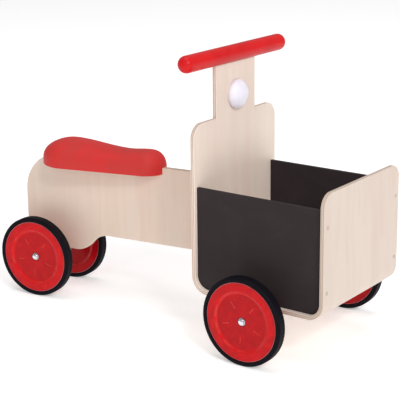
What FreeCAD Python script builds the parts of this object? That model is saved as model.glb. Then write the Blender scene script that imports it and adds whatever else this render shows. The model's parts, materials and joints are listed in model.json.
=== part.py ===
import FreeCAD, Part
import math
import os

# A child's ride-on delivery bike with four wheels: a single upright board carries the saddle and
# the close-set rear wheels, and a bent plywood cargo carrier with wide-set front wheels steers on
# a vertical pin in front of it.
#
# Axes: +X forward along the cargo carrier, +Y to the rider's left, +Z up from the ground.
# The design is laid out from the steering axis at x = 0, and moved along X at the end so that the
# origin lies on the ground midway along the whole length. At rest the board trails at rest_turn,
# which is the same as the carrier being steered that much to the rider's right.

# ---- driving dimensions, millimetres and degrees ----

# stance
rest_turn = 7.5
steer_reach = 310.0
front_axle_x = 136.0
front_track = 278.6
rear_track = 99.8

# wheels
wheel_diameter = 130.0
disc_diameter = 116.5
tyre_width = 16.6
tyre_shoulder = 3.2
disc_inset = 0.6
dish_depth = 3.0
dish_radius = 41.0
dish_lip = 45.5
dish_round = 3.5
boss_round = 1.8
rim_round = 1.4
pocket_round = 0.6
rib_count = 5
rib_angle = 122.0
rib_radius = 27.0
rib_length = 12.0
rib_width = 2.0
rib_height = 0.8
boss_radius = 10.5
axle_diameter = 8.0
bush_diameter = 12.0
running_gap = 0.05
end_gap = 0.3
cap_diameter = 11.5
cap_pocket_diameter = 13.4
cap_pocket_depth = 3.1
cap_dome_height = 2.9
spacer_wall = 3.0

# bent plywood carrier
ply = 6.5
box_length = 222.0
carrier_width = 210.2
floor_underside = 74.0
bend_radius = 26.0
hinge_gap = 22.0
front_panel_top = 255.5
front_corner_radius = 21.0
shoulder_height = 323.5
shoulder_radius = 22.0
neck_width = 99.0

# chalkboard side panels
side_panel_thickness = 6.0
side_panel_inset = 6.0
side_panel_top = 232.0
side_panel_groove = 2.0

# handlebar and headlamp
bar_diameter = 25.0
bar_length = 255.0
bar_height = 412.0
bar_screw_drop = 6.2
bar_screw_spread = 33.0
bar_screw_inset = 1.0
bar_screw_length = 16.5
lamp_height = 352.4
lamp_radius = 21.5
lamp_half_depth = 11.4
lamp_standoff = 3.9
lamp_curve_points = 24

# upright board
board_thickness = 10.0
board_top = 225.0
board_bottom = 100.5
board_tail_bottom = 70.0
board_overhang = 47.0
board_top_radius = 65.0
board_tail_radius = 24.0
lobe_radius = 37.5
lobe_start = 66.0
lobe_end = 89.0
board_edge_round = 1.5

# saddle
seat_start = -4.0
seat_length = 216.0
seat_skirt = 214.5
seat_side = 9.0
seat_rear_half = 47.0
seat_front_half = 30.0
seat_rear_round = 49.0
seat_front_round = 30.0
seat_hump = 253.5
seat_dip = 246.5
seat_nose = 250.0
seat_hump_at = 38.0
seat_dip_at = 140.0
seat_nose_at = 186.0
seat_squareness = 2.3
seat_sections = 18
seat_arch_points = 12
cleat_start = 30.0
cleat_length = 130.0
cleat_width = 14.0
cleat_bolt_shares = (0.25, 0.75)
seat_screw_shares = (0.1, 0.9)

# rear axle cheeks
cheek_length = 24.0
cheek_width = 26.0
cheek_bottom = 52.0
cheek_top = 94.0
cheek_bolt_height = 84.0
cheek_round = 4.8

# front axle block
block_length = 34.0
block_bottom = 53.0
block_inset = 1.0
block_round = 5.7
block_screw_y = (-72.0, 72.0)
block_screw_x = 9.0
block_screw_length = 22.0

# steering hinge
post_width = 34.0
post_back = 22.0
post_wall = 8.0
pin_diameter = 8.0
pin_flats = 13.0
pin_head_height = 5.3
pin_nut_height = 7.0
pin_thread_end = 3.0
washer_thickness = 1.0
hinge_bush_diameter = 12.0
hinge_bush_depth = 16.0
hinge_flange_diameter = 18.0
hinge_flange = 2.0
bracket_plate = 3.0
bracket_half_width = 30.0
bracket_back = 10.0
bracket_web = 34.0
bracket_round = 6.0
bracket_gap = 0.15
bracket_screw_shares = (0.3, 0.7)
bracket_screw_cover = 1.0

# fasteners
screw_diameter = 4.0
bolt_diameter = 5.0
nut_flats = 8.0
nut_height = 4.0
bolt_head_diameter = 11.0
bolt_head_height = 2.6
bolt_thread_end = 1.0
panel_screw_heights = (115.0, 208.5)
panel_screw_length = 34.0
panel_screw_diameter = 3.0
plug_diameter = 6.0
plug_depth = 2.0

# how far a cutting shape runs past what it cuts
cut_past = 1.0

# ---- worked out from the driving dimensions ----

X = FreeCAD.Vector(1, 0, 0)
Y = FreeCAD.Vector(0, 1, 0)
Z = FreeCAD.Vector(0, 0, 1)

wheel_radius = wheel_diameter / 2
disc_radius = disc_diameter / 2
axle_radius = axle_diameter / 2
half_carrier = carrier_width / 2
half_board = board_thickness / 2
half_tyre = tyre_width / 2
half_disc = half_tyre - disc_inset
panel_back = hinge_gap
panel_front = hinge_gap + box_length
floor_top = floor_underside + ply
ply_middle = panel_back + ply / 2
inner_bend = bend_radius - ply
side_outer = half_carrier - side_panel_inset
side_inner = side_outer - side_panel_thickness
side_middle = (side_outer + side_inner) / 2
dish_floor = half_disc - dish_depth
bush_outer_end = dish_floor - cap_pocket_depth
rear_axle_x = -steer_reach
bracket_wall = bracket_half_width - bracket_plate
cleat_reach = half_board + cleat_width
cheek_reach = half_board + cheek_width


def rear_overhang():
    """Distance from the steering axis back to the rearmost point of the turned rear wheels."""
    turn = math.radians(rest_turn)
    along = steer_reach + wheel_radius - tyre_shoulder
    across = rear_track / 2 + half_tyre - tyre_shoulder
    return along * math.cos(turn) + across * math.sin(turn) + tyre_shoulder


steering_x = (rear_overhang() - panel_front) / 2


# ---- shape helpers ----

def vec(x, y, z):
    return FreeCAD.Vector(x, y, z)


def block(x_range, y_range, z_range):
    size = [high - low for low, high in (x_range, y_range, z_range)]
    return Part.makeBox(size[0], size[1], size[2], vec(x_range[0], y_range[0], z_range[0]))


def rod(radius, start, end):
    return Part.makeCylinder(radius, (end - start).Length, start, end - start)


def cone(start_radius, end_radius, start, end):
    return Part.makeCone(start_radius, end_radius, (end - start).Length, start, end - start)


def tube(outer, inner, start, end):
    return rod(outer, start, end).cut(rod(inner, start, end))


def hexagon_bar(flats, start, end):
    axis = (end - start).normalize()
    side = Z if abs(axis.z) < 1 / 2 else X
    across = axis.cross(side)
    corner = flats / math.sqrt(3)
    turns = [math.tau * i / 6 for i in range(6)]
    points = [start + side * (corner * math.cos(a)) + across * (corner * math.sin(a)) for a in turns]
    return Part.Face(Part.makePolygon(points + points[:1])).extrude(end - start)


def mirrored(shape):
    return shape.mirror(vec(0, 0, 0), Y)


def group(shapes):
    return Part.makeCompound(shapes)


def rounded_outline(corners, place):
    """Closed wire through (u, v, radius) corners, each replaced by a tangent arc of its radius."""
    edges = []
    ends = []
    flat = [FreeCAD.Vector(u, v, 0) for u, v, _ in corners]
    for i, (_, _, radius) in enumerate(corners):
        corner = flat[i]
        back = (flat[i - 1] - corner).normalize()
        ahead = (flat[(i + 1) % len(flat)] - corner).normalize()
        if radius == 0:
            ends.append((corner, corner, None))
            continue
        half = back.getAngle(ahead) / 2
        reach = radius / math.tan(half)
        middle = corner + (back + ahead).normalize() * (radius / math.sin(half) - radius)
        ends.append((corner + back * reach, corner + ahead * reach, middle))
    for i, (first, last, middle) in enumerate(ends):
        if middle:
            edges.append(Part.Arc(place(first), place(middle), place(last)).toShape())
        following = ends[(i + 1) % len(ends)][0]
        edges.append(Part.makeLine(place(last), place(following)))
    return Part.Wire(edges)


def slab_xz(corners, y_low, y_high):
    wire = rounded_outline(corners, lambda p: vec(p.x, y_low, p.y))
    return Part.Face(wire).extrude(Y * (y_high - y_low))


def slab_yz(corners, x_low, x_high):
    wire = rounded_outline(corners, lambda p: vec(x_low, p.x, p.y))
    return Part.Face(wire).extrude(X * (x_high - x_low))


def drilled(shape, tools):
    for tool in tools:
        shape = shape.cut(tool)
    return shape


def round_edges(shape, radius, wanted):
    edges = [edge for edge in shape.Edges if wanted(edge)]
    return shape.makeFillet(radius, edges)


def lies_in_plane(edge, axis, value):
    box = edge.BoundBox
    low, high = {"x": (box.XMin, box.XMax), "y": (box.YMin, box.YMax)}[axis]
    return abs(low - value) < running_gap and abs(high - value) < running_gap


# ---- fasteners ----

def countersunk_screw(start, direction, length, radius=screw_diameter / 2):
    """Wood screw whose flat head lies flush at start and whose shank runs along direction."""
    neck = start + direction * radius
    head = cone(radius * 2, radius, start, neck)
    return head.fuse(rod(radius, neck, start + direction * length))


def dome_bolt(start, direction, grip):
    """Round-headed bolt: the head stands proud of start, and the shank runs past the nut."""
    base = start - direction * bolt_head_height
    radius = bolt_head_diameter / 2
    reach = (radius ** 2 + bolt_head_height ** 2) / (2 * bolt_head_height)
    ball = Part.makeSphere(reach, base + direction * reach)
    head = ball.common(rod(radius, base, start))
    shank_length = grip + nut_height + bolt_thread_end
    shank = rod(bolt_diameter / 2, start, start + direction * shank_length)
    return head.fuse(shank)


def bolt_nut(seat_point, direction):
    """Hexagon nut that sits on seat_point and runs along direction."""
    end = seat_point + direction * nut_height
    return hexagon_bar(nut_flats, seat_point, end).cut(rod(bolt_diameter / 2, seat_point, end))


# ---- wheels, built about (x, z) of their axle with the outer face towards side (+1 or -1) ----

def wheel_origin(axle_x, side, track):
    return vec(axle_x, side * track / 2, wheel_radius)


def tyre(origin):
    ring = tube(wheel_radius, disc_radius, origin - Y * half_tyre, origin + Y * half_tyre)
    return round_edges(ring, tyre_shoulder, lambda e: e.BoundBox.XLength > disc_diameter + tyre_shoulder)


def wheel_disc(origin, side):
    """Dished disc with a rounded rim, a hub boss inside and small radial ribs on the outer dish."""
    bush_radius = bush_diameter / 2
    pocket_radius = cap_pocket_diameter / 2
    section = [
        (bush_radius, -half_disc, 0),
        (boss_radius, -half_disc, 0),
        (boss_radius, -dish_floor, boss_round),
        (dish_radius, -dish_floor, dish_round),
        (dish_lip, -half_disc, dish_round),
        (disc_radius, -half_disc, rim_round),
        (disc_radius, half_disc, rim_round),
        (dish_lip, half_disc, dish_round),
        (dish_radius, dish_floor, dish_round),
        (pocket_radius, dish_floor, pocket_round),
        (pocket_radius, bush_outer_end, 0),
        (bush_radius, bush_outer_end, 0),
    ]
    wire = rounded_outline(section, lambda p: origin + X * p.x + Y * (side * p.y))
    disc = Part.Face(wire).revolve(origin, Y, 360)
    return disc.fuse(dish_ribs(origin, side)).removeSplitter()


def dish_ribs(origin, side):
    low, high = sorted((side * (dish_floor - rib_height), side * (dish_floor + rib_height)))
    ribs = []
    for i in range(rib_count):
        rib = block((rib_radius - rib_length / 2, rib_radius + rib_length / 2), (low, high),
                    (-rib_width / 2, rib_width / 2))
        rib.rotate(vec(0, 0, 0), Y, -rib_angle - i * 360 / rib_count)
        rib.translate(origin)
        ribs.append(rib)
    return ribs


def hub_bush(origin, side):
    outward = Y * side
    start = origin - outward * half_disc
    end = origin + outward * bush_outer_end
    return tube(bush_diameter / 2, axle_radius + running_gap, start, end)


def axle_cap(origin, side):
    """Push-on domed cap that keeps the wheel on; the axle ends inside it."""
    outward = Y * side
    radius = cap_diameter / 2
    start = origin + outward * (bush_outer_end + end_gap)
    collar_end = start + outward * (dish_floor - bush_outer_end)
    dome = Part.makeSphere(radius, collar_end)
    flattened = dome.common(rod(radius, collar_end, collar_end + outward * cap_dome_height))
    return rod(radius, start, collar_end).fuse(flattened).cut(axle_stub(origin, side))


def axle_stub(origin, side):
    outward = Y * side
    return rod(axle_radius, origin - outward * tyre_width, origin + outward * dish_floor)


def axle(axle_x, track):
    left = wheel_origin(axle_x, 1, track) + Y * dish_floor
    right = wheel_origin(axle_x, -1, track) - Y * dish_floor
    return rod(axle_radius, right, left)


def spacer_pair(axle_x, track, inner_end):
    """Two tubes on the axle that keep the wheels off the wood between them."""
    outer_end = track / 2 - half_disc - end_gap
    start = vec(axle_x, inner_end, wheel_radius)
    end = vec(axle_x, outer_end, wheel_radius)
    left = tube(axle_radius + spacer_wall, axle_radius, start, end)
    return group([left, mirrored(left)])


# ---- cargo carrier ----

def panel_screw_points():
    """Places where a side panel's ends are screwed: (x face, direction, y, z)."""
    faces = ((panel_front, X * -1), (panel_back, X))
    return [(x, way, y, z) for x, way in faces for y in (-side_middle, side_middle)
            for z in panel_screw_heights]


def panel_screws():
    screws = []
    for x, way, y, z in panel_screw_points():
        start = vec(x, y, z) + way * plug_depth
        screws.append(countersunk_screw(start, way, panel_screw_length, panel_screw_diameter / 2))
    return group(screws)


def panel_plugs():
    plugs = []
    for x, way, y, z in panel_screw_points():
        start = vec(x, y, z)
        plugs.append(rod(plug_diameter / 2, start, start + way * plug_depth))
    return group(plugs)


def carrier_shell():
    """Rear panel, floor and front panel as one strip of plywood with two bends."""
    split = floor_underside + bend_radius
    outside = slab_xz([(panel_back, split + ply, 0), (panel_back, floor_underside, bend_radius),
                       (panel_front, floor_underside, bend_radius), (panel_front, split + ply, 0)],
                      -half_carrier, half_carrier)
    inside = slab_xz([(panel_back + ply, split + ply, 0), (panel_back + ply, floor_top, inner_bend),
                      (panel_front - ply, floor_top, inner_bend), (panel_front - ply, split + ply, 0)],
                     -half_carrier, half_carrier)
    half_neck = neck_width / 2
    back = slab_yz([(-half_carrier, split, 0), (half_carrier, split, 0),
                    (half_carrier, shoulder_height, shoulder_radius), (half_neck, shoulder_height, 0),
                    (half_neck, bar_height, 0), (-half_neck, bar_height, 0),
                    (-half_neck, shoulder_height, 0), (-half_carrier, shoulder_height, shoulder_radius)],
                   panel_back, panel_back + ply)
    front = slab_yz([(-half_carrier, split, 0), (half_carrier, split, 0),
                     (half_carrier, front_panel_top, front_corner_radius),
                     (-half_carrier, front_panel_top, front_corner_radius)],
                    panel_front - ply, panel_front)
    shell = outside.cut(inside).fuse([back, front]).removeSplitter()
    return drilled(shell, [side_panel(1), side_panel(-1), panel_screws(), panel_plugs(),
                           handlebar_screws(), headlamp_screw(), axle_block_screws(), bracket_screws()])


def side_panel(side):
    """Side of the cargo box, let into a shallow groove all along the plywood strip."""
    let_in = ply - side_panel_groove
    bend = bend_radius - let_in
    bottom = floor_underside + let_in
    outline = [(panel_back + let_in, side_panel_top, 0), (panel_back + let_in, bottom, bend),
               (panel_front - let_in, bottom, bend), (panel_front - let_in, side_panel_top, 0)]
    low, high = sorted((side * side_inner, side * side_outer))
    return slab_xz(outline, low, high).cut(panel_screws())


def handlebar():
    """Dowel with round ends, slotted underneath to sit over the neck of the rear panel."""
    radius = bar_diameter / 2
    end = vec(ply_middle, bar_length / 2 - radius, bar_height)
    other = vec(ply_middle, -end.y, bar_height)
    balls = [Part.makeSphere(radius, end), Part.makeSphere(radius, other)]
    dowel = rod(radius, other, end).fuse(balls)
    slot = block((panel_back, panel_back + ply), (-neck_width / 2, neck_width / 2),
                 (bar_height - bar_diameter, bar_height))
    return drilled(dowel.removeSplitter(), [slot, handlebar_screws()])


def handlebar_screws():
    surface_x = ply_middle - math.sqrt((bar_diameter / 2) ** 2 - bar_screw_drop ** 2)
    starts = [vec(surface_x + bar_screw_inset, y, bar_height - bar_screw_drop)
              for y in (-bar_screw_spread, bar_screw_spread)]
    return group([countersunk_screw(start, X, bar_screw_length) for start in starts])


def headlamp():
    """Flattened ball with a flat back on the front of the neck."""
    face = panel_back + ply
    low = math.asin(-lamp_standoff / lamp_half_depth)
    step = (math.pi / 2 - low) / lamp_curve_points
    points = [lamp_point(face, low + step * i) for i in range(lamp_curve_points + 1)]
    curve = Part.BSplineCurve()
    curve.interpolate(points)
    back = Part.makeLine(vec(face, 0, lamp_height), points[0])
    axis = Part.makeLine(points[-1], vec(face, 0, lamp_height))
    profile = Part.Face(Part.Wire([back, curve.toShape(), axis]))
    return profile.revolve(vec(face, 0, lamp_height), X, 360).cut(headlamp_screw())


def lamp_point(face, angle):
    x = face + lamp_standoff + lamp_half_depth * math.sin(angle)
    return vec(x, 0, lamp_height + lamp_radius * math.cos(angle))


def headlamp_screw():
    return countersunk_screw(vec(panel_back, 0, lamp_height), X, ply + lamp_half_depth)


# ---- front axle ----

def axle_block():
    half = block_length / 2
    reach = half_carrier - block_inset
    body = block((front_axle_x - half, front_axle_x + half), (-reach, reach),
                 (block_bottom, floor_underside))
    rounded = round_edges(body, block_round, lambda e: e.BoundBox.ZMax < wheel_radius
                          and e.BoundBox.YLength > half_carrier)
    return drilled(rounded, [axle(front_axle_x, front_track), axle_block_screws()])


def axle_block_screws():
    places = [(front_axle_x + x, y) for x in (-block_screw_x, block_screw_x) for y in block_screw_y]
    return group([countersunk_screw(vec(x, y, floor_top), Z * -1, block_screw_length)
                  for x, y in places])


def front_axle():
    return axle(front_axle_x, front_track)


def front_spacers():
    return spacer_pair(front_axle_x, front_track, half_carrier - block_inset)


# ---- steering hinge, carrier side ----

def hinge_levels():
    """Inner faces of the upper and lower bracket plates."""
    stack = hinge_flange + bracket_gap
    return board_top + stack, board_bottom - stack


def hinge_bracket(inner, upward):
    """Bent plate on the rear panel; its side walls stop the steering at each end of its range."""
    outer = inner + upward * bracket_plate
    web_end = inner - upward * bracket_web
    past_end = web_end - upward * cut_past
    half = bracket_half_width
    body = block((-bracket_back, panel_back), (-half, half), sorted((outer, web_end)))
    body = round_edges(body, bracket_round, lambda e: e.BoundBox.ZLength > bracket_web
                       and e.BoundBox.XMax < 0)
    hollow = block((-bracket_back - cut_past, panel_back - bracket_plate),
                   (-bracket_wall, bracket_wall), sorted((inner, past_end)))
    return drilled(body.cut(hollow), [steering_pin(), bracket_screws()])


def hinge_bracket_upper():
    return hinge_bracket(hinge_levels()[0], 1)


def hinge_bracket_lower():
    return hinge_bracket(hinge_levels()[1], -1)


def bracket_screws():
    """Wood screws from behind through each bracket's web; they stop short of the panel's front."""
    upper, lower = hinge_levels()
    across = (bracket_wall + post_width / 2) / 2 - bracket_plate / 2
    heights = [upper - bracket_web * share for share in bracket_screw_shares]
    heights += [lower + bracket_web * share for share in bracket_screw_shares]
    length = bracket_plate + ply - bracket_screw_cover
    face = panel_back - bracket_plate
    return group([countersunk_screw(vec(face, y, z), X, length)
                  for y in (-across, across) for z in heights])


def steering_pin():
    """Hexagon-headed bolt down through both brackets, both bushes and the post."""
    upper, lower = hinge_levels()
    head_bottom = vec(0, 0, upper + bracket_plate + washer_thickness)
    nut_bottom = lower - bracket_plate - washer_thickness - pin_nut_height
    shank = rod(pin_diameter / 2, vec(0, 0, nut_bottom - pin_thread_end), head_bottom)
    head = hexagon_bar(pin_flats, head_bottom, head_bottom + Z * pin_head_height)
    return shank.fuse(head)


def steering_nut():
    top = vec(0, 0, hinge_levels()[1] - bracket_plate - washer_thickness)
    bottom = top - Z * pin_nut_height
    return hexagon_bar(pin_flats, bottom, top).cut(rod(pin_diameter / 2, bottom, top))


def pin_washers():
    upper, lower = hinge_levels()
    undersides = (upper + bracket_plate, lower - bracket_plate - washer_thickness)
    return group([tube(pin_diameter, pin_diameter / 2, vec(0, 0, z), vec(0, 0, z + washer_thickness))
                  for z in undersides])


# ---- upright board, laid out from the steering axis with the rear axle at -steer_reach ----

def board_x(from_axle):
    return rear_axle_x + from_axle


def frame_board():
    tail = board_x(-board_overhang)
    corners = [
        (tail, board_tail_bottom, board_tail_radius),
        (board_x(lobe_start), board_tail_bottom, lobe_radius),
        (board_x(lobe_end), board_bottom, lobe_radius),
        (-post_wall, board_bottom, 0),
        (-post_wall, board_top, 0),
        (tail, board_top, board_top_radius),
    ]
    board = slab_xz(corners, -half_board, half_board)
    board = round_edges(board, board_edge_round, is_outline_edge)
    return drilled(board, [cheek_bolts(), cleat_bolts(), post_bolts()])


def is_outline_edge(edge):
    """True for the long outline edges of both faces, but not those held in the hinge post."""
    box = edge.BoundBox
    on_side = lies_in_plane(edge, "y", half_board) or lies_in_plane(edge, "y", -half_board)
    return on_side and box.XMin < -post_wall - board_edge_round


def hinge_post():
    """Hardwood post, round in front of the steering pin, with a slot behind it for the board."""
    half = post_width / 2
    height = (board_bottom, board_top)
    round_front = rod(half, vec(0, 0, board_bottom), vec(0, 0, board_top))
    body = round_front.fuse(block((-post_back, 0), (-half, half), height)).removeSplitter()
    slot = block((-post_back - cut_past, -post_wall), (-half_board, half_board), height)
    return drilled(body, [slot, hinge_bores(), post_bolts()])


def hinge_bores():
    """Pin bore with a wider seat for a bush at each end."""
    top, bottom = vec(0, 0, board_top), vec(0, 0, board_bottom)
    seat_radius = hinge_bush_diameter / 2
    through = rod(pin_diameter / 2 + running_gap, bottom, top)
    upper = rod(seat_radius, top - Z * hinge_bush_depth, top)
    lower = rod(seat_radius, bottom, bottom + Z * hinge_bush_depth)
    return through.fuse([upper, lower]).removeSplitter()


def hinge_bushes():
    upper = hinge_bush(board_top, 1)
    lower = hinge_bush(board_bottom, -1)
    return group([upper, lower])


def hinge_bush(level, upward):
    way = Z * upward
    face = vec(0, 0, level)
    sleeve = rod(hinge_bush_diameter / 2, face - way * hinge_bush_depth, face)
    flange = rod(hinge_flange_diameter / 2, face, face + way * hinge_flange)
    bore = rod(pin_diameter / 2 + running_gap, face - way * hinge_bush_depth, face + way * hinge_flange)
    return sleeve.fuse(flange).cut(bore)


def cross_bolts(points, reach):
    """Bolts across the board at (x, z) points; their heads are on the right-hand side."""
    return group([dome_bolt(vec(x, -reach, z), Y, 2 * reach) for x, z in points])


def cross_nuts(points, reach):
    return group([bolt_nut(vec(x, reach, z), Y) for x, z in points])


def post_bolt_points():
    x = -(post_back + post_wall) / 2
    middle = (board_top + board_bottom) / 2
    return [(x, middle - bracket_web / 2), (x, middle + bracket_web / 2)]


def post_bolts():
    return cross_bolts(post_bolt_points(), post_width / 2)


def post_nuts():
    return cross_nuts(post_bolt_points(), post_width / 2)


# ---- saddle ----

def seat_half_width(x):
    """Half the saddle's width: a straight taper between an elliptic tail and a round nose."""
    taper_start = seat_start + seat_rear_round
    taper_end = seat_start + seat_length - seat_front_round
    if x < taper_start:
        return seat_rear_half * math.sqrt(1 - ((taper_start - x) / seat_rear_round) ** 2)
    if x > taper_end:
        return seat_front_half * math.sqrt(1 - ((x - taper_end) / seat_front_round) ** 2)
    share = (x - taper_start) / (taper_end - taper_start)
    return seat_rear_half + (seat_front_half - seat_rear_half) * share


def ease(share):
    clamped = min(max(share, 0), 1)
    return (1 - math.cos(math.pi * clamped)) / 2


def seat_crown(x):
    """Height of the saddle's middle line: hump, dip and nose, rounded off at both ends."""
    line = seat_hump + (seat_dip - seat_hump) * ease((x - seat_hump_at) / (seat_dip_at - seat_hump_at))
    line += (seat_nose - seat_dip) * ease((x - seat_dip_at) / (seat_nose_at - seat_dip_at))
    tail = (x - seat_start) / (seat_hump_at - seat_start)
    nose = (seat_start + seat_length - x) / (seat_start + seat_length - seat_nose_at)
    rounding = 1
    for share in (tail, nose):
        rounding *= math.sqrt(1 - (1 - min(share, 1)) ** 2)
    base = seat_skirt + seat_side
    return base + (line - base) * rounding


def seat_section(x):
    half = seat_half_width(x)
    crown = seat_crown(x)
    side_top = seat_skirt + seat_side
    power = 2 / seat_squareness
    arch = []
    for i in range(seat_arch_points + 1):
        angle = math.pi * i / seat_arch_points
        across = math.copysign(abs(math.cos(angle)) ** power, math.cos(angle))
        rise = math.sin(angle) ** power
        arch.append(vec(board_x(x), half * across, side_top + (crown - side_top) * rise))
    curve = Part.BSplineCurve()
    curve.interpolate(arch)
    left_foot = vec(board_x(x), half, seat_skirt)
    right_foot = vec(board_x(x), -half, seat_skirt)
    edges = [Part.makeLine(left_foot, arch[0]), curve.toShape(),
             Part.makeLine(arch[-1], right_foot), Part.makeLine(right_foot, left_foot)]
    return Part.Wire(edges)


def seat():
    inset = 1 / seat_length
    shares = [ease(inset + (1 - 2 * inset) * i / seat_sections) for i in range(seat_sections + 1)]
    sections = [seat_section(seat_start + seat_length * share) for share in shares]
    body = Part.makeLoft(sections, True, False)
    height = (seat_skirt - cut_past, board_top)
    ends = (board_x(seat_start - cut_past), board_x(seat_start + seat_length + cut_past))
    slot = block(ends, (-half_board, half_board), height)
    pocket = block(cleat_span(), (-cleat_reach, cleat_reach), height)
    return drilled(body, [slot, pocket, seat_screws()])


def cleat_span():
    return board_x(cleat_start), board_x(cleat_start + cleat_length)


def seat_cleat(side):
    sides = sorted((side * half_board, side * cleat_reach))
    body = block(cleat_span(), sides, (seat_skirt, board_top))
    return drilled(body, [cleat_bolts(), seat_screws(), cleat_nuts()])


def cleat_bolt_points():
    height = (seat_skirt + board_top) / 2
    return [(board_x(cleat_start + cleat_length * share), height) for share in cleat_bolt_shares]


def cleat_bolts():
    """Headless studs across the two cleats and the board between them."""
    radius = bolt_diameter / 2
    return group([rod(radius, vec(x, -cleat_reach, z), vec(x, cleat_reach, z))
                  for x, z in cleat_bolt_points()])


def cleat_nuts():
    """Flush round nuts let into the outer face of each cleat."""
    nuts = []
    for x, z in cleat_bolt_points():
        for side in (-1, 1):
            outer = vec(x, side * cleat_reach, z)
            inner = outer - Y * (side * nut_height)
            nuts.append(tube(nut_flats / 2, bolt_diameter / 2, inner, outer))
    return group(nuts)


def seat_screws():
    middle = half_board + cleat_width / 2
    length = (board_top - seat_skirt) * 2
    places = [(board_x(cleat_start + cleat_length * share), side * middle)
              for share in seat_screw_shares for side in (-1, 1)]
    return group([countersunk_screw(vec(x, y, seat_skirt), Z, length) for x, y in places])


# ---- rear axle ----

def rear_cheek(side):
    half = cheek_length / 2
    sides = sorted((side * half_board, side * cheek_reach))
    body = block((rear_axle_x - half, rear_axle_x + half), sides, (cheek_bottom, cheek_top))
    rounded = round_edges(body, cheek_round, lambda e: e.BoundBox.YLength > half)
    return drilled(rounded, [axle(rear_axle_x, rear_track), cheek_bolts()])


def cheek_bolt_points():
    return [(rear_axle_x, cheek_bolt_height)]


def cheek_bolts():
    return cross_bolts(cheek_bolt_points(), cheek_reach)


def cheek_nuts():
    return cross_nuts(cheek_bolt_points(), cheek_reach)


def rear_axle():
    return axle(rear_axle_x, rear_track)


def rear_spacers():
    return spacer_pair(rear_axle_x, rear_track, cheek_reach)


def axle_caps(axle_x, track):
    return group([axle_cap(wheel_origin(axle_x, side, track), side) for side in (-1, 1)])


# ---- export ----

def trailing(shape):
    """Turn a shape of the board's side of the hinge to its place at rest."""
    turned = shape.copy()
    turned.rotate(vec(0, 0, 0), Z, rest_turn)
    return turned


def save(name, shape):
    placed = shape.copy()
    placed.translate(X * steering_x)
    placed.exportStep(os.path.join("parts", name + ".step"))


def carrier_nodes():
    return {
        "carrier_shell": carrier_shell(),
        "side_panel_left": side_panel(1),
        "side_panel_right": side_panel(-1),
        "panel_screws": panel_screws(),
        "panel_plugs": panel_plugs(),
        "handlebar": handlebar(),
        "handlebar_screws": handlebar_screws(),
        "headlamp": headlamp(),
        "headlamp_screw": headlamp_screw(),
        "axle_block": axle_block(),
        "axle_block_screws": axle_block_screws(),
        "front_axle": front_axle(),
        "front_axle_caps": axle_caps(front_axle_x, front_track),
        "front_spacers": front_spacers(),
        "hinge_bracket_upper": hinge_bracket_upper(),
        "hinge_bracket_lower": hinge_bracket_lower(),
        "bracket_screws": bracket_screws(),
        "steering_pin": steering_pin(),
        "steering_nut": steering_nut(),
        "pin_washers": pin_washers(),
    }


def board_nodes():
    return {
        "frame_board": frame_board(),
        "hinge_post": hinge_post(),
        "post_bolts": post_bolts(),
        "post_nuts": post_nuts(),
        "hinge_bushes": hinge_bushes(),
        "seat": seat(),
        "seat_cleat_left": seat_cleat(1),
        "seat_cleat_right": seat_cleat(-1),
        "cleat_bolts": cleat_bolts(),
        "cleat_nuts": cleat_nuts(),
        "seat_screws": seat_screws(),
        "rear_cheek_left": rear_cheek(1),
        "rear_cheek_right": rear_cheek(-1),
        "cheek_bolts": cheek_bolts(),
        "cheek_nuts": cheek_nuts(),
        "rear_axle": rear_axle(),
        "rear_axle_caps": axle_caps(rear_axle_x, rear_track),
        "rear_spacers": rear_spacers(),
    }


def wheel_nodes(end, axle_x, track):
    nodes = {}
    for name, side in (("left", 1), ("right", -1)):
        origin = wheel_origin(axle_x, side, track)
        nodes["tyre_" + end + "_" + name] = tyre(origin)
        nodes["disc_" + end + "_" + name] = wheel_disc(origin, side)
        nodes["hub_bush_" + end + "_" + name] = hub_bush(origin, side)
    return nodes


def main():
    os.makedirs("parts", exist_ok=True)
    for name, shape in carrier_nodes().items():
        save(name, shape)
    for name, shape in wheel_nodes("front", front_axle_x, front_track).items():
        save(name, shape)
    for name, shape in board_nodes().items():
        save(name, trailing(shape))
    for name, shape in wheel_nodes("rear", rear_axle_x, rear_track).items():
        save(name, trailing(shape))
    print("steering axis at x =", round(steering_x, 3))


main()
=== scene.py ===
"""A child's ride-on delivery bike with four wheels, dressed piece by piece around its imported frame."""

import json
import logging
import math
from dataclasses import dataclass
from enum import Enum
from typing import Callable, Iterable, Optional, Sequence, Union

import bmesh
import bpy
from mathutils import Matrix, Vector


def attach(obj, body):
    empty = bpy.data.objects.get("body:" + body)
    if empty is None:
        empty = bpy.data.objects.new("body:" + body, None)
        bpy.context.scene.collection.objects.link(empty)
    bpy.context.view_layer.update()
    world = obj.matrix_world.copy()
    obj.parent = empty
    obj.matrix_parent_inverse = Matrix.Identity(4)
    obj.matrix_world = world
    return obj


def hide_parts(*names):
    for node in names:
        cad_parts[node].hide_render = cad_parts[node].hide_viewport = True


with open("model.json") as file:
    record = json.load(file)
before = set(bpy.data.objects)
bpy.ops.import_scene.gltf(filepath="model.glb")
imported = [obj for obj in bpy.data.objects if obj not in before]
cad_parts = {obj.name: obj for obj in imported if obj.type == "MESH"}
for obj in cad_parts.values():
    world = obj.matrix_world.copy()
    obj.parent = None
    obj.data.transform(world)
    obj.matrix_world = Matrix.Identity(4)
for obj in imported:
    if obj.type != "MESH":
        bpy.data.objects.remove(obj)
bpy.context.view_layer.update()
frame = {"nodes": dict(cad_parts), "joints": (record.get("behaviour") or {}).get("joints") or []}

MM = 0.001
X, Y, Z = Vector((1, 0, 0)), Vector((0, 1, 0)), Vector((0, 0, 1))
GRAIN = "grain"
CUT_EDGE = 60.0  # degrees: a sawn or pressed edge turns by more than this, and a rounded corner by less
TOUCHING = 0.001 * MM
FULL_ROUND = 0.999  # share of a half width that a corner takes when it leaves no flat
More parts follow.
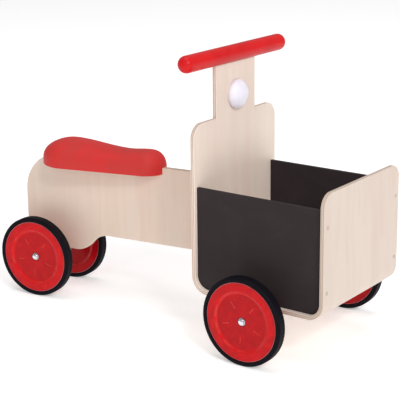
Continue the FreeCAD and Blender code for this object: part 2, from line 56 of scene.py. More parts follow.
AXLE_RADIUS = 4.0 * MM  # the two axles and the steering pin
SOFT_EDGE = 0.6 * MM
MIX_SHARE, MIX_FIRST, MIX_SECOND, MIX_RESULT = 0, 6, 7, 2  # a Mix node's sockets for colours
log = logging.getLogger("ride_on_bike")

Colour = tuple[float, float, float]
Corner = tuple[float, float, float]
Number = Union[float, "Wire"]


class Body(Enum):
    """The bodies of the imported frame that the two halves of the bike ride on."""

    BOARD = "frame"
    CARRIER = "carrier"


class Slot(Enum):
    """The record's material slots."""

    PLY = "birch_ply"
    HARDWOOD = "hardwood"
    CHALKBOARD = "chalkboard"
    DOWEL = "red_dowel"
    SADDLE = "red_saddle"
    LAMP = "white_lamp"
    TYRE = "tyre"
    DISC = "red_disc"
    NYLON = "nylon"
    CAP = "chrome_cap"
    ZINC = "zinc_steel"
    BRACKET = "black_bracket"


# ---- shader workbench ----


class Wire:
    """A shader socket that works in sums: an expression on wires adds the Math nodes for it."""

    def __init__(self, bench: "Bench", socket: bpy.types.NodeSocket) -> None:
        """Holds an output socket and the bench that owns it."""
        self.bench = bench
        self.socket = socket

    def maths(self, operation: str, *others: Number) -> "Wire":
        """Adds a Math node with this wire as its first input."""
        return self.bench.maths(operation, self, *others)

    def __add__(self, other: Number) -> "Wire":
        """Sum."""
        return self.maths("ADD", other)

    def __radd__(self, other: float) -> "Wire":
        """Sum with a number in front."""
        return self.bench.maths("ADD", other, self)

    def __sub__(self, other: Number) -> "Wire":
        """Difference."""
        return self.maths("SUBTRACT", other)

    def __rsub__(self, other: float) -> "Wire":
        """Difference from a number."""
        return self.bench.maths("SUBTRACT", other, self)

    def __mul__(self, other: Number) -> "Wire":
        """Product."""
        return self.maths("MULTIPLY", other)

    def __rmul__(self, other: float) -> "Wire":
        """Product with a number in front."""
        return self.bench.maths("MULTIPLY", other, self)

    def floor(self) -> "Wire":
        """Whole number below."""
        return self.maths("FLOOR")

    def fraction(self) -> "Wire":
        """Part after the point."""
        return self.maths("FRACT")

    def size(self) -> "Wire":
        """Value without its sign."""
        return self.maths("ABSOLUTE")

    def modulo(self, other: Number) -> "Wire":
        """Remainder."""
        return self.maths("FLOORED_MODULO", other)

    def below(self, limit: Number) -> "Wire":
        """One where the value is below a limit, and nought elsewhere."""
        return self.maths("LESS_THAN", limit)

    def between(self, low: float, high: float) -> "Wire":
        """Smooth rise between two values, or a smooth fall if the first is the larger.

        Args:
            low: the value that gives nought.
            high: the value that gives one.

        Returns:
            A number from nought to one.
        """
        settings = {"interpolation_type": "SMOOTHSTEP", "clamp": True}
        ends = (low, high, 0.0, 1.0) if low < high else (high, low, 1.0, 0.0)
        return self.bench.node("ShaderNodeMapRange", settings, dict(enumerate((self, *ends))))


class Bench:
    """Builds one material: every node comes from its node method."""

    def __init__(self, name: str) -> None:
        """Starts a material with a bare surface shader.

        Args:
            name: the material's name.
        """
        self.material = bpy.data.materials.new(name)
        self.material.use_nodes = True
        self.tree = self.material.node_tree
        self.tree.nodes.clear()
        self.surface = self.tree.nodes.new("ShaderNodeBsdfPrincipled")
        output = self.tree.nodes.new("ShaderNodeOutputMaterial")
        self.tree.links.new(self.surface.outputs["BSDF"], output.inputs["Surface"])

    def node(self, kind: str, settings: dict, inputs: dict, output: Union[int, str] = 0) -> Wire:
        """Adds a node.

        Args:
            kind: the node's type.
            settings: properties, set first since some of them change the inputs.
            inputs: values or wires by input name or index.
            output: which output to return.

        Returns:
            The chosen output.
        """
        made = self.tree.nodes.new(kind)
        for key, value in settings.items():
            setattr(made, key, value)
        for key, value in inputs.items():
            self.feed(made.inputs[key], value)
        return Wire(self, made.outputs[output])

    def feed(self, socket: bpy.types.NodeSocket, value: object) -> None:
        """Links a wire to a socket, or sets the socket's value.

        Args:
            socket: the input.
            value: a wire, a number, a vector or a colour.
        """
        if isinstance(value, Wire):
            self.tree.links.new(value.socket, socket)
        elif isinstance(value, tuple) and len(value) == 3 and socket.type == "RGBA":
            socket.default_value = (*value, 1.0)
        else:
            socket.default_value = value

    def maths(self, operation: str, *values: Number) -> Wire:
        """Adds a Math node."""
        return self.node("ShaderNodeMath", {"operation": operation}, dict(enumerate(values)))

    def place(self, turn: float = 0.0) -> Wire:
        """Object coordinates.

        Args:
            turn: how far they are turned about the vertical, in radians.

        Returns:
            The coordinates.
        """
        spot = self.node("ShaderNodeTexCoord", {}, {}, "Object")
        if not turn:
            return spot
        inputs = {"Vector": spot, "Rotation": (0, 0, -turn)}
        return self.node("ShaderNodeMapping", {"vector_type": "POINT"}, inputs)

    def measured(self) -> tuple[Wire, Wire, Wire]:
        """The three numbers that a piece's mesh carries for its finish."""
        return self.parts(self.node("ShaderNodeAttribute", {"attribute_name": GRAIN}, {}, "Vector"))

    def parts(self, vector: Wire) -> tuple[Wire, Wire, Wire]:
        """Splits a vector into its three numbers."""
        made = self.node("ShaderNodeSeparateXYZ", {}, {0: vector}).socket.node
        return tuple(Wire(self, made.outputs[index]) for index in range(3))

    def joined(self, x: Number, y: Number, z: Number) -> Wire:
        """Joins three numbers into a vector."""
        return self.node("ShaderNodeCombineXYZ", {}, {0: x, 1: y, 2: z})

    def scaled(self, vector: Wire, factors: Colour) -> Wire:
        """A vector or a colour, multiplied part by part."""
        return self.node("ShaderNodeVectorMath", {"operation": "MULTIPLY"}, {0: vector, 1: factors})

    def noise(self, vector: Wire, scale: float = 1.0, detail: float = 2.0, distortion: float = 0.0) -> Wire:
        """Soft random value from nought to one.

        Args:
            vector: where it is read.
            scale: spots per unit of the vector.
            detail: octaves.
            distortion: how far it curls.

        Returns:
            The value.
        """
        inputs = {"Vector": vector, "Scale": scale, "Detail": detail, "Distortion": distortion}
        return self.node("ShaderNodeTexNoise", {}, inputs)

    def blend(self, share: Number, first: Union[Wire, Colour], second: Union[Wire, Colour]) -> Wire:
        """Mixes two colours.

        Args:
            share: how much of the second.
            first: the colour at nought.
            second: the colour at one.

        Returns:
            The mixed colour.
        """
        inputs = {MIX_SHARE: share, MIX_FIRST: first, MIX_SECOND: second}
        return self.node("ShaderNodeMix", {"data_type": "RGBA"}, inputs, MIX_RESULT)

    def bump(self, height: Wire, distance: float, under: Optional[Wire] = None) -> Wire:
        """Relief from a height.

        Args:
            height: the height, about nought to one.
            distance: how tall one is, in metres.
            under: a coarser relief that this one lies on.

        Returns:
            The bumped normal.
        """
        inputs: dict = {"Height": height, "Distance": distance, "Strength": 1.0}
        if under is not None:
            inputs["Normal"] = under
        return self.node("ShaderNodeBump", {}, inputs)

    def finish(self, **inputs: object) -> bpy.types.Material:
        """Feeds the surface shader.

        Args:
            inputs: values or wires, by the socket's name with underscores for spaces.

        Returns:
            The finished material.
        """
        for key, value in inputs.items():
            self.feed(self.surface.inputs[key.replace("_", " ")], value)
        return self.material


# ---- finishes ----


@dataclass(frozen=True)
class Finish:
    """What every finish has: a name, the record's slot, and a material that is made once."""

    name: str
    slot: Slot

    def material(self) -> bpy.types.Material:
        """The material, made on first use."""
        found = bpy.data.materials.get(self.name)
        return found if found else self.mix(Bench(self.name))

    def mix(self, bench: Bench) -> bpy.types.Material:
        """Builds the material on a bench."""
        raise NotImplementedError


@dataclass(frozen=True)
class Plywood(Finish):
    """Clear-lacquered birch plywood: pale figured faces, and layered edges with glue lines, with painted
    shade along the sheet where it is switched on.
    """

    thickness: float
    layers: int
    pale: Colour
    warm: Colour
    pink: Colour
    cross: Colour
    pore: Colour = (0.55, 0.38, 0.25)
    glue: Colour = (0.26, 0.17, 0.11)
    # Painted shade: when switched on, parts of the sheet take a darker copy of the face colour.
    painted_shade: bool = False
    painted_shade_tint: Colour = (0.72, 0.715, 0.71)

    def mix(self, bench: Bench) -> bpy.types.Material:
        """Builds the material from the distances across, into and along the sheet.

        Args:
            bench: the workbench with the new material on it.

        Returns:
            The finished material.
        """
        across, depth, along = bench.measured()
        from_core = (depth - self.thickness / 2).size() * (0.985 * self.layers / self.thickness) + 0.5
        layer = from_core.floor()
        crossing = ((self.layers - 1) / 2 - layer).modulo(2.0)
        line = from_core.fraction().below(0.10)
        sway = bench.noise(bench.joined(across * 5, layer * 3.7, along * 2.2), 3.0, 1.0) - 0.5
        wavy = across + sway * 0.018
        figure = bench.noise(bench.joined(wavy * 44, layer * 5.1, along * 4.2), 1.0, 3.0, 1.1)
        streak = bench.noise(bench.joined(wavy * 420, layer * 9.3, along * 9.0))
        cloud = bench.noise(bench.joined(across * 9, layer * 2.3, along * 5.5), 1.0, 2.0, 0.8)
        band = bench.noise(bench.joined(wavy * 24, layer * 6.9, along * 2.6), 1.0, 2.0, 0.6)
        pores = bench.noise(bench.joined(wavy * 1900, layer * 7.7, along * 95), 1.0, 1.0)
        dash = pores.between(0.63, 0.74) * streak.between(0.38, 0.62)
        face = bench.blend(figure.between(0.38, 0.72) * 0.40, self.pale, self.warm)
        face = bench.blend(band.between(0.50, 0.72) * 0.46, face, self.pink)
        face = bench.blend(cloud.between(0.50, 0.74) * 0.45, face, self.pink)
        # Painted shade: darker from partway along the floor to the front panel, which is darkened fully, and
        # partly darker on the upper rear panel.
        if self.painted_shade:
            share = along.between(0.05, 0.24) + (-1.0 * along).between(0.17, 0.25) * 0.45
            face = bench.blend(share, face, bench.scaled(face, self.painted_shade_tint))
        face = bench.blend(streak.between(0.48, 0.78) * 0.09, face, self.warm)
        face = bench.blend(dash * 0.30, face, self.pore)
        end_grain = bench.noise(bench.joined(across * 700, depth * 2600, along * 700))
        edge = bench.blend(crossing * 0.85, face, self.cross)
        edge = bench.blend(end_grain.between(0.45, 0.7) * crossing * 0.35, edge, self.pore)
        edge = bench.blend(line * 0.55, edge, self.glue)
        height = figure * 0.4 + streak * 0.35 - dash * 0.6 - crossing * 0.35 - line * 0.5
        return bench.finish(Base_Color=edge, Roughness=0.40 + streak * 0.10 + cloud * 0.08 + crossing * 0.15,
                            Normal=bench.bump(height, 0.10 * MM), Coat_Weight=0.12, Coat_Roughness=0.28,
                            Specular_IOR_Level=0.42)


@dataclass(frozen=True)
class SolidWood(Finish):
    """Sanded beech with flecks. Its grain runs along the axis that is stretched least."""

    stretch: Colour
    turn: float = 0.0
    light: Colour = (0.76, 0.56, 0.37)
    dark: Colour = (0.58, 0.37, 0.21)
    fleck: Colour = (0.40, 0.23, 0.12)

    def mix(self, bench: Bench) -> bpy.types.Material:
        """Builds the material.

        Args:
            bench: the workbench with the new material on it.

        Returns:
            The finished material.
        """
        grain = bench.scaled(bench.place(self.turn), self.stretch)
        rings = bench.noise(grain, 1.0, 3.0, 1.2)
        fine = bench.noise(bench.scaled(grain, (6, 6, 6)))
        flecks = bench.noise(bench.scaled(grain, (16, 16, 16)), 1.0, 1.0).between(0.64, 0.74)
        colour = bench.blend(rings.between(0.3, 0.7), self.light, self.dark)
        colour = bench.blend(fine.between(0.5, 0.8) * 0.4, colour, self.light)
        colour = bench.blend(flecks * 0.5, colour, self.fleck)
        return bench.finish(Base_Color=colour, Roughness=0.42 + fine * 0.14,
                            Normal=bench.bump(rings * 0.4 + fine * 0.4 - flecks * 0.4, 0.12 * MM),
                            Coat_Weight=0.08, Coat_Roughness=0.3)


@dataclass(frozen=True)
class Chalkboard(Finish):
    """Matt charcoal chalkboard paint with rubbed-out chalk and a fine tooth."""

    paint: Colour = (0.034, 0.026, 0.028)
    haze: Colour = (0.046, 0.036, 0.038)
    chalk: Colour = (0.16, 0.15, 0.15)

    def mix(self, bench: Bench) -> bpy.types.Material:
        """Builds the material.

        Args:
            bench: the workbench with the new material on it.

        Returns:
            The finished material.
        """
        spot = bench.place()
        cloud = bench.noise(spot, 11.0, 3.0, 1.5)
        wipe = bench.noise(bench.scaled(spot, (14, 30, 60)), 1.0, 3.0, 0.8)
        speck = bench.noise(spot, 1500.0, 1.0)
        colour = bench.blend(cloud.between(0.35, 0.75) * 0.7, self.paint, self.haze)
        colour = bench.blend(wipe.between(0.50, 0.85) * 0.15, colour, self.haze)
        colour = bench.blend(speck.between(0.72, 0.80) * cloud.between(0.45, 0.7) * 0.35, colour, self.chalk)
        roller = bench.bump(bench.noise(spot, 520.0), 0.06 * MM)
        return bench.finish(Base_Color=colour, Roughness=0.70 + cloud * 0.18, Specular_IOR_Level=0.12,
                            Normal=bench.bump(bench.noise(spot, 2600.0), 0.02 * MM, roller))


@dataclass(frozen=True)
class PaintedWood(Finish):
    """Satin red paint on a turned dowel: faint grain under the paint, and small rubs."""

    paint: Colour = (0.66, 0.010, 0.012)
    deep: Colour = (0.46, 0.006, 0.008)
    rub: Colour = (0.78, 0.10, 0.07)

    def mix(self, bench: Bench) -> bpy.types.Material:
        """Builds the material.

        Args:
            bench: the workbench with the new material on it.

        Returns:
            The finished material.
        """
        spot = bench.place()
        grain = bench.noise(bench.scaled(spot, (420, 14, 420)), 1.0, 3.0)
        cloud = bench.noise(spot, 26.0)
        nicks = bench.noise(bench.scaled(spot, (240, 90, 240)), 1.0, 2.0, 0.5).between(0.70, 0.80)
        colour = bench.blend(cloud.between(0.35, 0.75) * 0.5, self.paint, self.deep)
        colour = bench.blend(nicks * 0.35, colour, self.rub)
        height = grain * 0.7 + bench.noise(spot, 900.0) * 0.3
        return bench.finish(Base_Color=colour, Roughness=0.30 + cloud * 0.12 + nicks * 0.2,
                            Normal=bench.bump(height, 0.05 * MM), Coat_Weight=0.03, Coat_Roughness=0.18,
                            Specular_IOR_Level=0.16)


@dataclass(frozen=True)
class SaddleSkin(Finish):
    """Satin moulded skin with a very fine leathery stipple and a soft sheen."""

    skin: Colour = (0.64, 0.032, 0.030)
    dull: Colour = (0.55, 0.040, 0.036)

    def mix(self, bench: Bench) -> bpy.types.Material:
        """Builds the material.

        Args:
            bench: the workbench with the new material on it.

        Returns:
            The finished material.
        """
        spot = bench.place()
        cells = bench.node("ShaderNodeTexVoronoi", {"feature": "DISTANCE_TO_EDGE"},
                           {"Vector": spot, "Scale": 1150.0}, "Distance")
        cloud = bench.noise(spot, 17.0, 3.0, 0.8)
        scuff = bench.noise(bench.scaled(spot, (60, 260, 160)), 1.0, 3.0, 0.6)
        height = cells.between(0.0, 0.12) * 0.7 + bench.noise(spot, 2400.0) * 0.3
        return bench.finish(Base_Color=bench.blend(cloud.between(0.35, 0.7), self.skin, self.dull),
                            Roughness=0.46 + cloud * 0.12 + scuff.between(0.62, 0.8) * 0.10,
                            Normal=bench.bump(height, 0.04 * MM), Specular_IOR_Level=0.16)


@dataclass(frozen=True)
class MouldedRed(Finish):
    """Glossy moulded red plastic: a mottled dish, flow marks and scratches, with painted light: painted shade
    in the dish and on the inner side, painted highlights on the lip and the rib tops, and a pale line near
    the rim that is a painted reflection.
    """

    rim: float
    dish: float
    floor: float
    red: Colour = (0.60, 0.008, 0.011)
    # Darker red: used for flow marks, and for painted shade in the dish and on the inner side.
    deep: Colour = (0.36, 0.004, 0.007)
    dust: Colour = (0.60, 0.10, 0.09)
    # Pale pink for a thin line near the rim: a painted reflection.
    painted_rim_reflection: Colour = (0.60, 0.30, 0.32)
    # Lighter red for the dish lip and the rib tops: painted highlights.
    painted_highlight_red: Colour = (0.80, 0.075, 0.06)

    def mix(self, bench: Bench) -> bpy.types.Material:
        """Builds the material from the distances from the axle and outward from the wheel's middle.

        Args:
            bench: the workbench with the new material on it.

        Returns:
            The finished material.
        """
        spot = bench.place()
        radius, offset, _ = bench.measured()
        flow = bench.noise(spot, 32.0, 2.0, 1.6)
        mottle = bench.noise(spot, 120.0, 3.0, 0.8)
        lines = bench.noise(bench.scaled(spot, (70, 70, 1400)), 1.0, 1.0, 1.0).between(0.66, 0.72)
        in_dish = radius.between(self.dish, self.dish - 1.5 * MM)
        on_rim = radius.between(self.rim - 1.3 * MM, self.rim - 0.9 * MM)
        rib_highlight = offset.between(self.floor + 0.2 * MM, self.floor + 0.7 * MM) * in_dish
        lip_highlight = radius.between(self.dish, self.dish + 1.5 * MM) * radius.between(self.dish + 5 * MM,
                                                                                   self.dish + 3 * MM)
        inner = (-1.0 * offset).between(2.0 * MM, 4.0 * MM)
        colour = bench.blend(flow.between(0.35, 0.7) * 0.5, self.red, self.deep)
        # Painted shade: the whole dish is darkened; the mottle within it is the plastic's own.
        colour = bench.blend(mottle.between(0.38, 0.66) * in_dish * 0.26 + in_dish * 0.36, colour, self.deep)
        colour = bench.blend(bench.noise(spot, 900.0).between(0.68, 0.82) * 0.15, colour, self.dust)
        # Painted highlight on the tops of the ribs.
        colour = bench.blend(rib_highlight * 0.45, colour, self.painted_highlight_red)
        # Painted shade: the inner side of the disc, facing the bike, is darkened.
        colour = bench.blend(inner * 0.85, colour, self.deep)
        # Painted highlight round the dish lip, broken up by the flow noise.
        colour = bench.blend(lip_highlight * flow.between(0.35, 0.65) * 0.40, colour, self.painted_highlight_red)
        # Painted reflection: a pale line just inside the rim.
        colour = bench.blend(on_rim * (0.45 + mottle * 0.4), colour, self.painted_rim_reflection)
        height = bench.noise(spot, 1300.0) * 0.4 + flow * 0.6 + mottle * in_dish * 1.6 - lines * 0.4
        return bench.finish(Base_Color=colour, Roughness=0.10 + flow * 0.05 + lines * 0.10 + on_rim * 0.15,
                            Normal=bench.bump(height, 0.03 * MM), Specular_IOR_Level=0.13)


@dataclass(frozen=True)
class TyreRubber(Finish):
    """Plain black rubber with a low bluish sheen, fine scuffs and a trace of dust."""

    rubber: Colour = (0.004, 0.0035, 0.006)
    grey: Colour = (0.007, 0.0055, 0.009)
    dust: Colour = (0.06, 0.05, 0.05)

    def mix(self, bench: Bench) -> bpy.types.Material:
        """Builds the material.

        Args:
            bench: the workbench with the new material on it.

        Returns:
            The finished material.
        """
        spot = bench.place()
        cloud = bench.noise(spot, 45.0, 3.0)
        speck = bench.noise(spot, 620.0, 3.0)
        colour = bench.blend(cloud.between(0.35, 0.75) * 0.7, self.rubber, self.grey)
        colour = bench.blend(speck.between(0.66, 0.85) * 0.22, colour, self.dust)
        height = bench.noise(spot, 1800.0) * 0.6 + speck * 0.4
        return bench.finish(Base_Color=colour, Roughness=0.50 + cloud * 0.16,
                            Normal=bench.bump(height, 0.05 * MM), Specular_IOR_Level=0.075)


@dataclass(frozen=True)
class Metal(Finish):
    """Plated steel: drawn marks, faint spots, and a brightness of its own."""

    bright: Colour
    dull: Colour
    smooth: float
    rough: float

    def mix(self, bench: Bench) -> bpy.types.Material:
        """Builds the material.

        Args:
            bench: the workbench with the new material on it.

        Returns:
            The finished material.
        """
        spot = bench.place()
        cloud = bench.noise(spot, 160.0, 3.0, 0.8)
        drawn = bench.noise(bench.scaled(spot, (2200, 260, 2200)))
        spots = bench.noise(spot, 700.0).between(0.62, 0.78)
        colour = bench.blend(cloud.between(0.35, 0.7) * 0.6 + spots * 0.25, self.bright, self.dull)
        rough = self.smooth + (cloud * 0.5 + drawn * 0.3 + spots * 0.2) * (self.rough - self.smooth)
        return bench.finish(Base_Color=colour, Roughness=rough, Metallic=1.0,
                            Normal=bench.bump(drawn * 0.5 + cloud * 0.5, 0.01 * MM))


@dataclass(frozen=True)
class Mottled(Finish):
    """An even material of two close tones with a fine relief: lamp shell, powder coat or nylon."""

    light: Colour
    dark: Colour
    cloud: tuple[float, float]
    tones: tuple[float, float, float]
    grit: tuple[float, float]
    gloss: tuple[float, float]
    specular: float
    coat: float = 0.0

    def mix(self, bench: Bench) -> bpy.types.Material:
        """Builds the material.

        Args:
            bench: the workbench with the new material on it.

        Returns:
            The finished material.
        """
        spot = bench.place()
        cloud = bench.noise(spot, *self.cloud)
        low, high, share = self.tones
        grit_scale, grit_height = self.grit
        rough, uneven = self.gloss
        return bench.finish(Base_Color=bench.blend(cloud.between(low, high) * share, self.light, self.dark),
                            Roughness=rough + cloud * uneven, Specular_IOR_Level=self.specular,
                            Normal=bench.bump(bench.noise(spot, grit_scale), grit_height),
                            Coat_Weight=self.coat, Coat_Roughness=0.15)


ZINC = Metal("zinc plated steel", Slot.ZINC, (0.62, 0.62, 0.63), (0.42, 0.42, 0.44), 0.24, 0.42)
CHROME = Metal("chrome plated cap", Slot.CAP, (0.72, 0.73, 0.77), (0.50, 0.51, 0.55), 0.06, 0.18)
NYLON = Mottled("natural nylon", Slot.NYLON, (0.74, 0.72, 0.66), (0.60, 0.57, 0.50), cloud=(120.0, 3.0),
                tones=(0.35, 0.75, 1.0), grit=(1600.0, 0.03 * MM), gloss=(0.40, 0.15), specular=0.4)
POWDER_COAT = Mottled("black powder coat", Slot.BRACKET, (0.018, 0.018, 0.020), (0.050, 0.050, 0.052),
                      cloud=(60.0, 3.0), tones=(0.45, 0.8, 0.6), grit=(950.0, 0.04 * MM),
                      gloss=(0.42, 0.14), specular=0.45)
LAMP_SHELL = Mottled("white lamp shell", Slot.LAMP, (0.86, 0.83, 0.92), (0.78, 0.74, 0.86),
                     cloud=(60.0, 2.0), tones=(0.35, 0.7, 0.6), grit=(1500.0, 0.02 * MM),
                     gloss=(0.26, 0.08), specular=0.5, coat=0.2)
# The bent sheet carries painted shade on its floor, front panel and upper rear panel.
BENT_PLY = Plywood("bent birch plywood", Slot.PLY, 6.5 * MM, 5, pale=(0.93, 0.79, 0.69),
                   warm=(0.82, 0.665, 0.55), pink=(0.92, 0.70, 0.61), cross=(0.50, 0.37, 0.28), painted_shade=True)
# Painted shade: the board's birch takes darker tones than the bent sheet's because the board is seen in
# shade; its thickness and layer count are its own.
BOARD_PLY_PAINTED_SHADE = Plywood("thick birch plywood in painted shade", Slot.PLY, 10 * MM, 7, pale=(0.79, 0.65, 0.545),
                    warm=(0.70, 0.54, 0.425), pink=(0.79, 0.58, 0.48), cross=(0.34, 0.25, 0.20))


# ---- mesh workbench ----


@dataclass(frozen=True)
class Span:
    """A CAD node's box, in the frame of the half of the bike that it belongs to."""

    low: Vector
    high: Vector

    @classmethod
    def around(cls, points: Sequence[Vector]) -> "Span":
        """The box around some points."""
        low, high = (Vector([pick(point[axis] for point in points) for axis in range(3)])
                     for pick in (min, max))
        return cls(low, high)

    @property
    def centre(self) -> Vector:
        """Middle of the box."""
        return (self.low + self.high) / 2

    @property
    def size(self) -> Vector:
        """Edge lengths of the box."""
        return self.high - self.low

    def reach(self, out: Vector) -> float:
        """Length of the box along an axis."""
        return abs(self.size.dot(out))

    def face(self, out: Vector) -> Vector:
        """Middle of the face on the side that a direction points to."""
        return self.centre + out * self.reach(out) / 2


@dataclass(frozen=True)
class Half:
    """One half of the bike. Its own frame has its origin on the ground under the steering axis."""

    body: Body
    place: Matrix
    turn: float

    def span(self, node: str) -> Span:
        """The box of a CAD node in this half's frame."""
        back = self.place.inverted()
        return Span.around([back @ vertex.co for vertex in frame["nodes"][node].data.vertices])

    def spans(self, node: str, merge: float = 0.02 * MM) -> list[Span]:
        """The boxes of the separate solids of a CAD node.

        Args:
            node: the node's name.
            merge: vertices closer than this are one.

        Returns:
            One box per solid.
        """
        copy = bmesh.new()
        copy.from_mesh(frame["nodes"][node].data)
        bmesh.ops.remove_doubles(copy, verts=copy.verts[:], dist=merge)
        back = self.place.inverted()
        found = []
        waiting = set(copy.verts)
        while waiting:
            reached = [waiting.pop()]
            for vertex in reached:
                for edge in vertex.link_edges:
                    other = edge.other_vert(vertex)
                    if other in waiting:
                        waiting.discard(other)
                        reached.append(other)
            found.append(Span.around([back @ vertex.co for vertex in reached]))
        copy.free()
        return sorted(found, key=lambda span: tuple(round(value, 5) for value in span.centre))


class Blank:
    """A mesh in the making. It is shaped in its half's frame, and put in place when it is finished."""

    def __init__(self) -> None:
        """Starts with no geometry."""
        self.mesh = bmesh.new()

    @classmethod
    def slab(cls, corners: Sequence[Corner], across: Vector, up: Vector, start: Vector,
             depth: Vector) -> "Blank":
        """A flat board of any outline.

        Args:
            corners: (across, up, radius) of each corner of the outline.
            across: direction of the first number.
            up: direction of the second number.
            start: where the outline's origin lies.
            depth: the board's thickness, as a vector.

        Returns:
            The board.
        """
        blank = cls()
        blank.outline(corners, across, up, start, closed=True, filled=True)
        made = bmesh.ops.extrude_face_region(blank.mesh, geom=blank.mesh.faces[:])
        bmesh.ops.translate(blank.mesh, verts=only(bmesh.types.BMVert, made["geom"]), vec=depth)
        return blank.outward()

    @classmethod
    def turned(cls, corners: Sequence[Corner], centre: Vector, axis: Vector, closed: bool = False,
               steps: int = 48) -> "Blank":
        """A turned solid.

        Args:
            corners: (radius, distance along the axis, corner radius) of the profile.
            centre: a point on the axis that the distances start from.
            axis: direction of the axis.
            closed: whether the profile closes on itself, as for a ring.
            steps: how many facets go round.

        Returns:
            The solid.
        """
        blank = cls()
        outward = Z if abs(axis.z) < 0.5 else X
        blank.outline(corners, outward, axis, centre, closed, filled=False)
        geometry = blank.mesh.verts[:] + blank.mesh.edges[:]
        bmesh.ops.spin(blank.mesh, geom=geometry, cent=centre, axis=axis, dvec=Vector(),
                       angle=math.tau, steps=steps, use_merge=True)
        bmesh.ops.remove_doubles(blank.mesh, verts=blank.mesh.verts[:], dist=TOUCHING)
        return blank.outward()

    @classmethod
    def block(cls, low: Vector, high: Vector) -> "Blank":
        """A rectangular block.

        Args:
            low: its corner with the least coordinates.
            high: the corner opposite.

        Returns:
            The block.
        """
        blank = cls()
        place = Matrix.Translation((low + high) / 2) @ Matrix.Diagonal((*(high - low), 1.0))
        bmesh.ops.create_cube(blank.mesh, size=1.0, matrix=place)
        return blank

    def outline(self, corners: Sequence[Corner], across: Vector, up: Vector, start: Vector,
                closed: bool, filled: bool) -> None:
        """Draws an outline from its corners and rounds those that have a radius.

        Args:
            corners: (across, up, radius) of each corner.
            across: direction of the first number.
            up: direction of the second number.
            start: where the outline's origin lies.
            closed: whether the last corner joins the first.
            filled: whether the outline becomes a face.
        """
        verts = [self.mesh.verts.new(start + across * u + up * v) for u, v, _ in corners]
        if filled:
            self.mesh.faces.new(verts)
        else:
            for pair in list(zip(verts, verts[1:])) + ([(verts[-1], verts[0])] if closed else []):
                self.mesh.edges.new(pair)
        for vert, (_, _, radius) in zip(verts, corners):
            if radius:
                self.round_corner(vert, radius)

    def round_corner(self, vert: bmesh.types.BMVert, radius: float) -> None:
        """Replaces a corner of an outline by an arc that meets both its edges smoothly.

        Args:
            vert: the corner.
            radius: the arc's radius.
        """
        first, second = [edge.other_vert(vert).co - vert.co for edge in vert.link_edges[:2]]
        half = first.angle(second) / 2
        segments = max(3, round((math.pi - 2 * half) / math.radians(6)))
        bmesh.ops.bevel(self.mesh, geom=[vert], offset=radius / math.tan(half), offset_type="OFFSET",
                        segments=segments, profile=0.5, affect="VERTICES", material=-1, clamp_overlap=False)

    def soften(self, width: float, segments: int = 3, sharper: float = 35.0,
               where: Optional[Callable[[bmesh.types.BMEdge], bool]] = None) -> "Blank":
        """Rounds the sharp edges.

        Args:
            width: how far the rounding reaches from each edge.
            segments: facets across the rounding.
            sharper: only edges that turn more than this many degrees are rounded.
            where: a further test for an edge.

        Returns:
            The same blank.
        """
        limit = math.radians(sharper)
        edges = [edge for edge in self.mesh.edges
                 if edge.is_manifold and edge.calc_face_angle() > limit and (where is None or where(edge))]
        bmesh.ops.bevel(self.mesh, geom=edges, offset=width, offset_type="OFFSET", segments=segments,
                        profile=0.5, affect="EDGES", material=-1, clamp_overlap=True, loop_slide=True)
        return self

    def join(self, others: Iterable["Blank"]) -> "Blank":
        """Takes in the meshes of other blanks.

        Args:
            others: the blanks, which are used up.

        Returns:
            The same blank.
        """
        for other in others:
            carried = bpy.data.meshes.new("carried")
            other.mesh.to_mesh(carried)
            other.mesh.free()
            self.mesh.from_mesh(carried)
            bpy.data.meshes.remove(carried)
        return self

    def move(self, matrix: Matrix) -> "Blank":
        """Moves the whole blank."""
        bmesh.ops.transform(self.mesh, matrix=matrix, verts=self.mesh.verts[:])
        return self

    def outward(self) -> "Blank":
        """Turns every face to point out of its solid."""
        bmesh.ops.recalc_face_normals(self.mesh, faces=self.mesh.faces[:])
        return self

    def piece(self, name: str, half: Half, finish: Finish, node: str, body: Optional[str] = None,
              grain: Optional[Callable[[Vector], Vector]] = None, crease: float = 40.0) -> None:
        """Finishes the blank as a named piece of the bike.

        Args:
            name: the piece's name.
            half: the half of the bike whose frame the blank is in.
            finish: its finish.
            node: the CAD node that it stands for.
            body: the body that it rides on, if not its half's own.
            grain: what a point in the half's frame carries for the finish.
            crease: edges that turn more than this many degrees stay crisp.
        """
        made = bpy.data.meshes.new(name)
        carried = [value for vertex in self.mesh.verts for value in grain(vertex.co)] if grain else []
        self.move(half.place)
        self.mesh.to_mesh(made)
        self.mesh.free()
        if carried:
            made.attributes.new(GRAIN, "FLOAT_VECTOR", "POINT").data.foreach_set("vector", carried)
        made.materials.append(finish.material())
        made.shade_smooth()
        made.set_sharp_from_angle(angle=math.radians(crease))
        made.validate()
        thing = bpy.data.objects.new(name, made)
        bpy.context.scene.collection.objects.link(thing)
        thing.modifiers.new("flat faces stay flat", "WEIGHTED_NORMAL").keep_sharp = True
        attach(thing, body or half.body.value)
        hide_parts(node)
        log.info("%s: %d faces, stands for %s", name, len(made.polygons), node)


def only(kind: type, items: Iterable) -> list:
    """Those of some mesh elements that are of one kind."""
    return [item for item in items if isinstance(item, kind)]


@dataclass(frozen=True)
class Stance:
    """Where the two halves of the bike stand at rest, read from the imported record."""

    carrier: Half
    board: Half

    @classmethod
    def read(cls) -> "Stance":
        """Works the stance out from the record's joints.

        Returns:
            The stance.
        """
        joints = {joint["name"]: joint for joint in frame["joints"]}
        pin_x, pin_y, _ = joints["steering"]["pos_m"]
        axle_x, axle_y, _ = joints["rear_left_spin"]["axis"]
        turn = math.atan2(-axle_x, axle_y)
        under_pin = Matrix.Translation((pin_x, pin_y, 0.0))
        return cls(Half(Body.CARRIER, under_pin, 0.0),
                   Half(Body.BOARD, under_pin @ Matrix.Rotation(turn, 4, "Z"), turn))


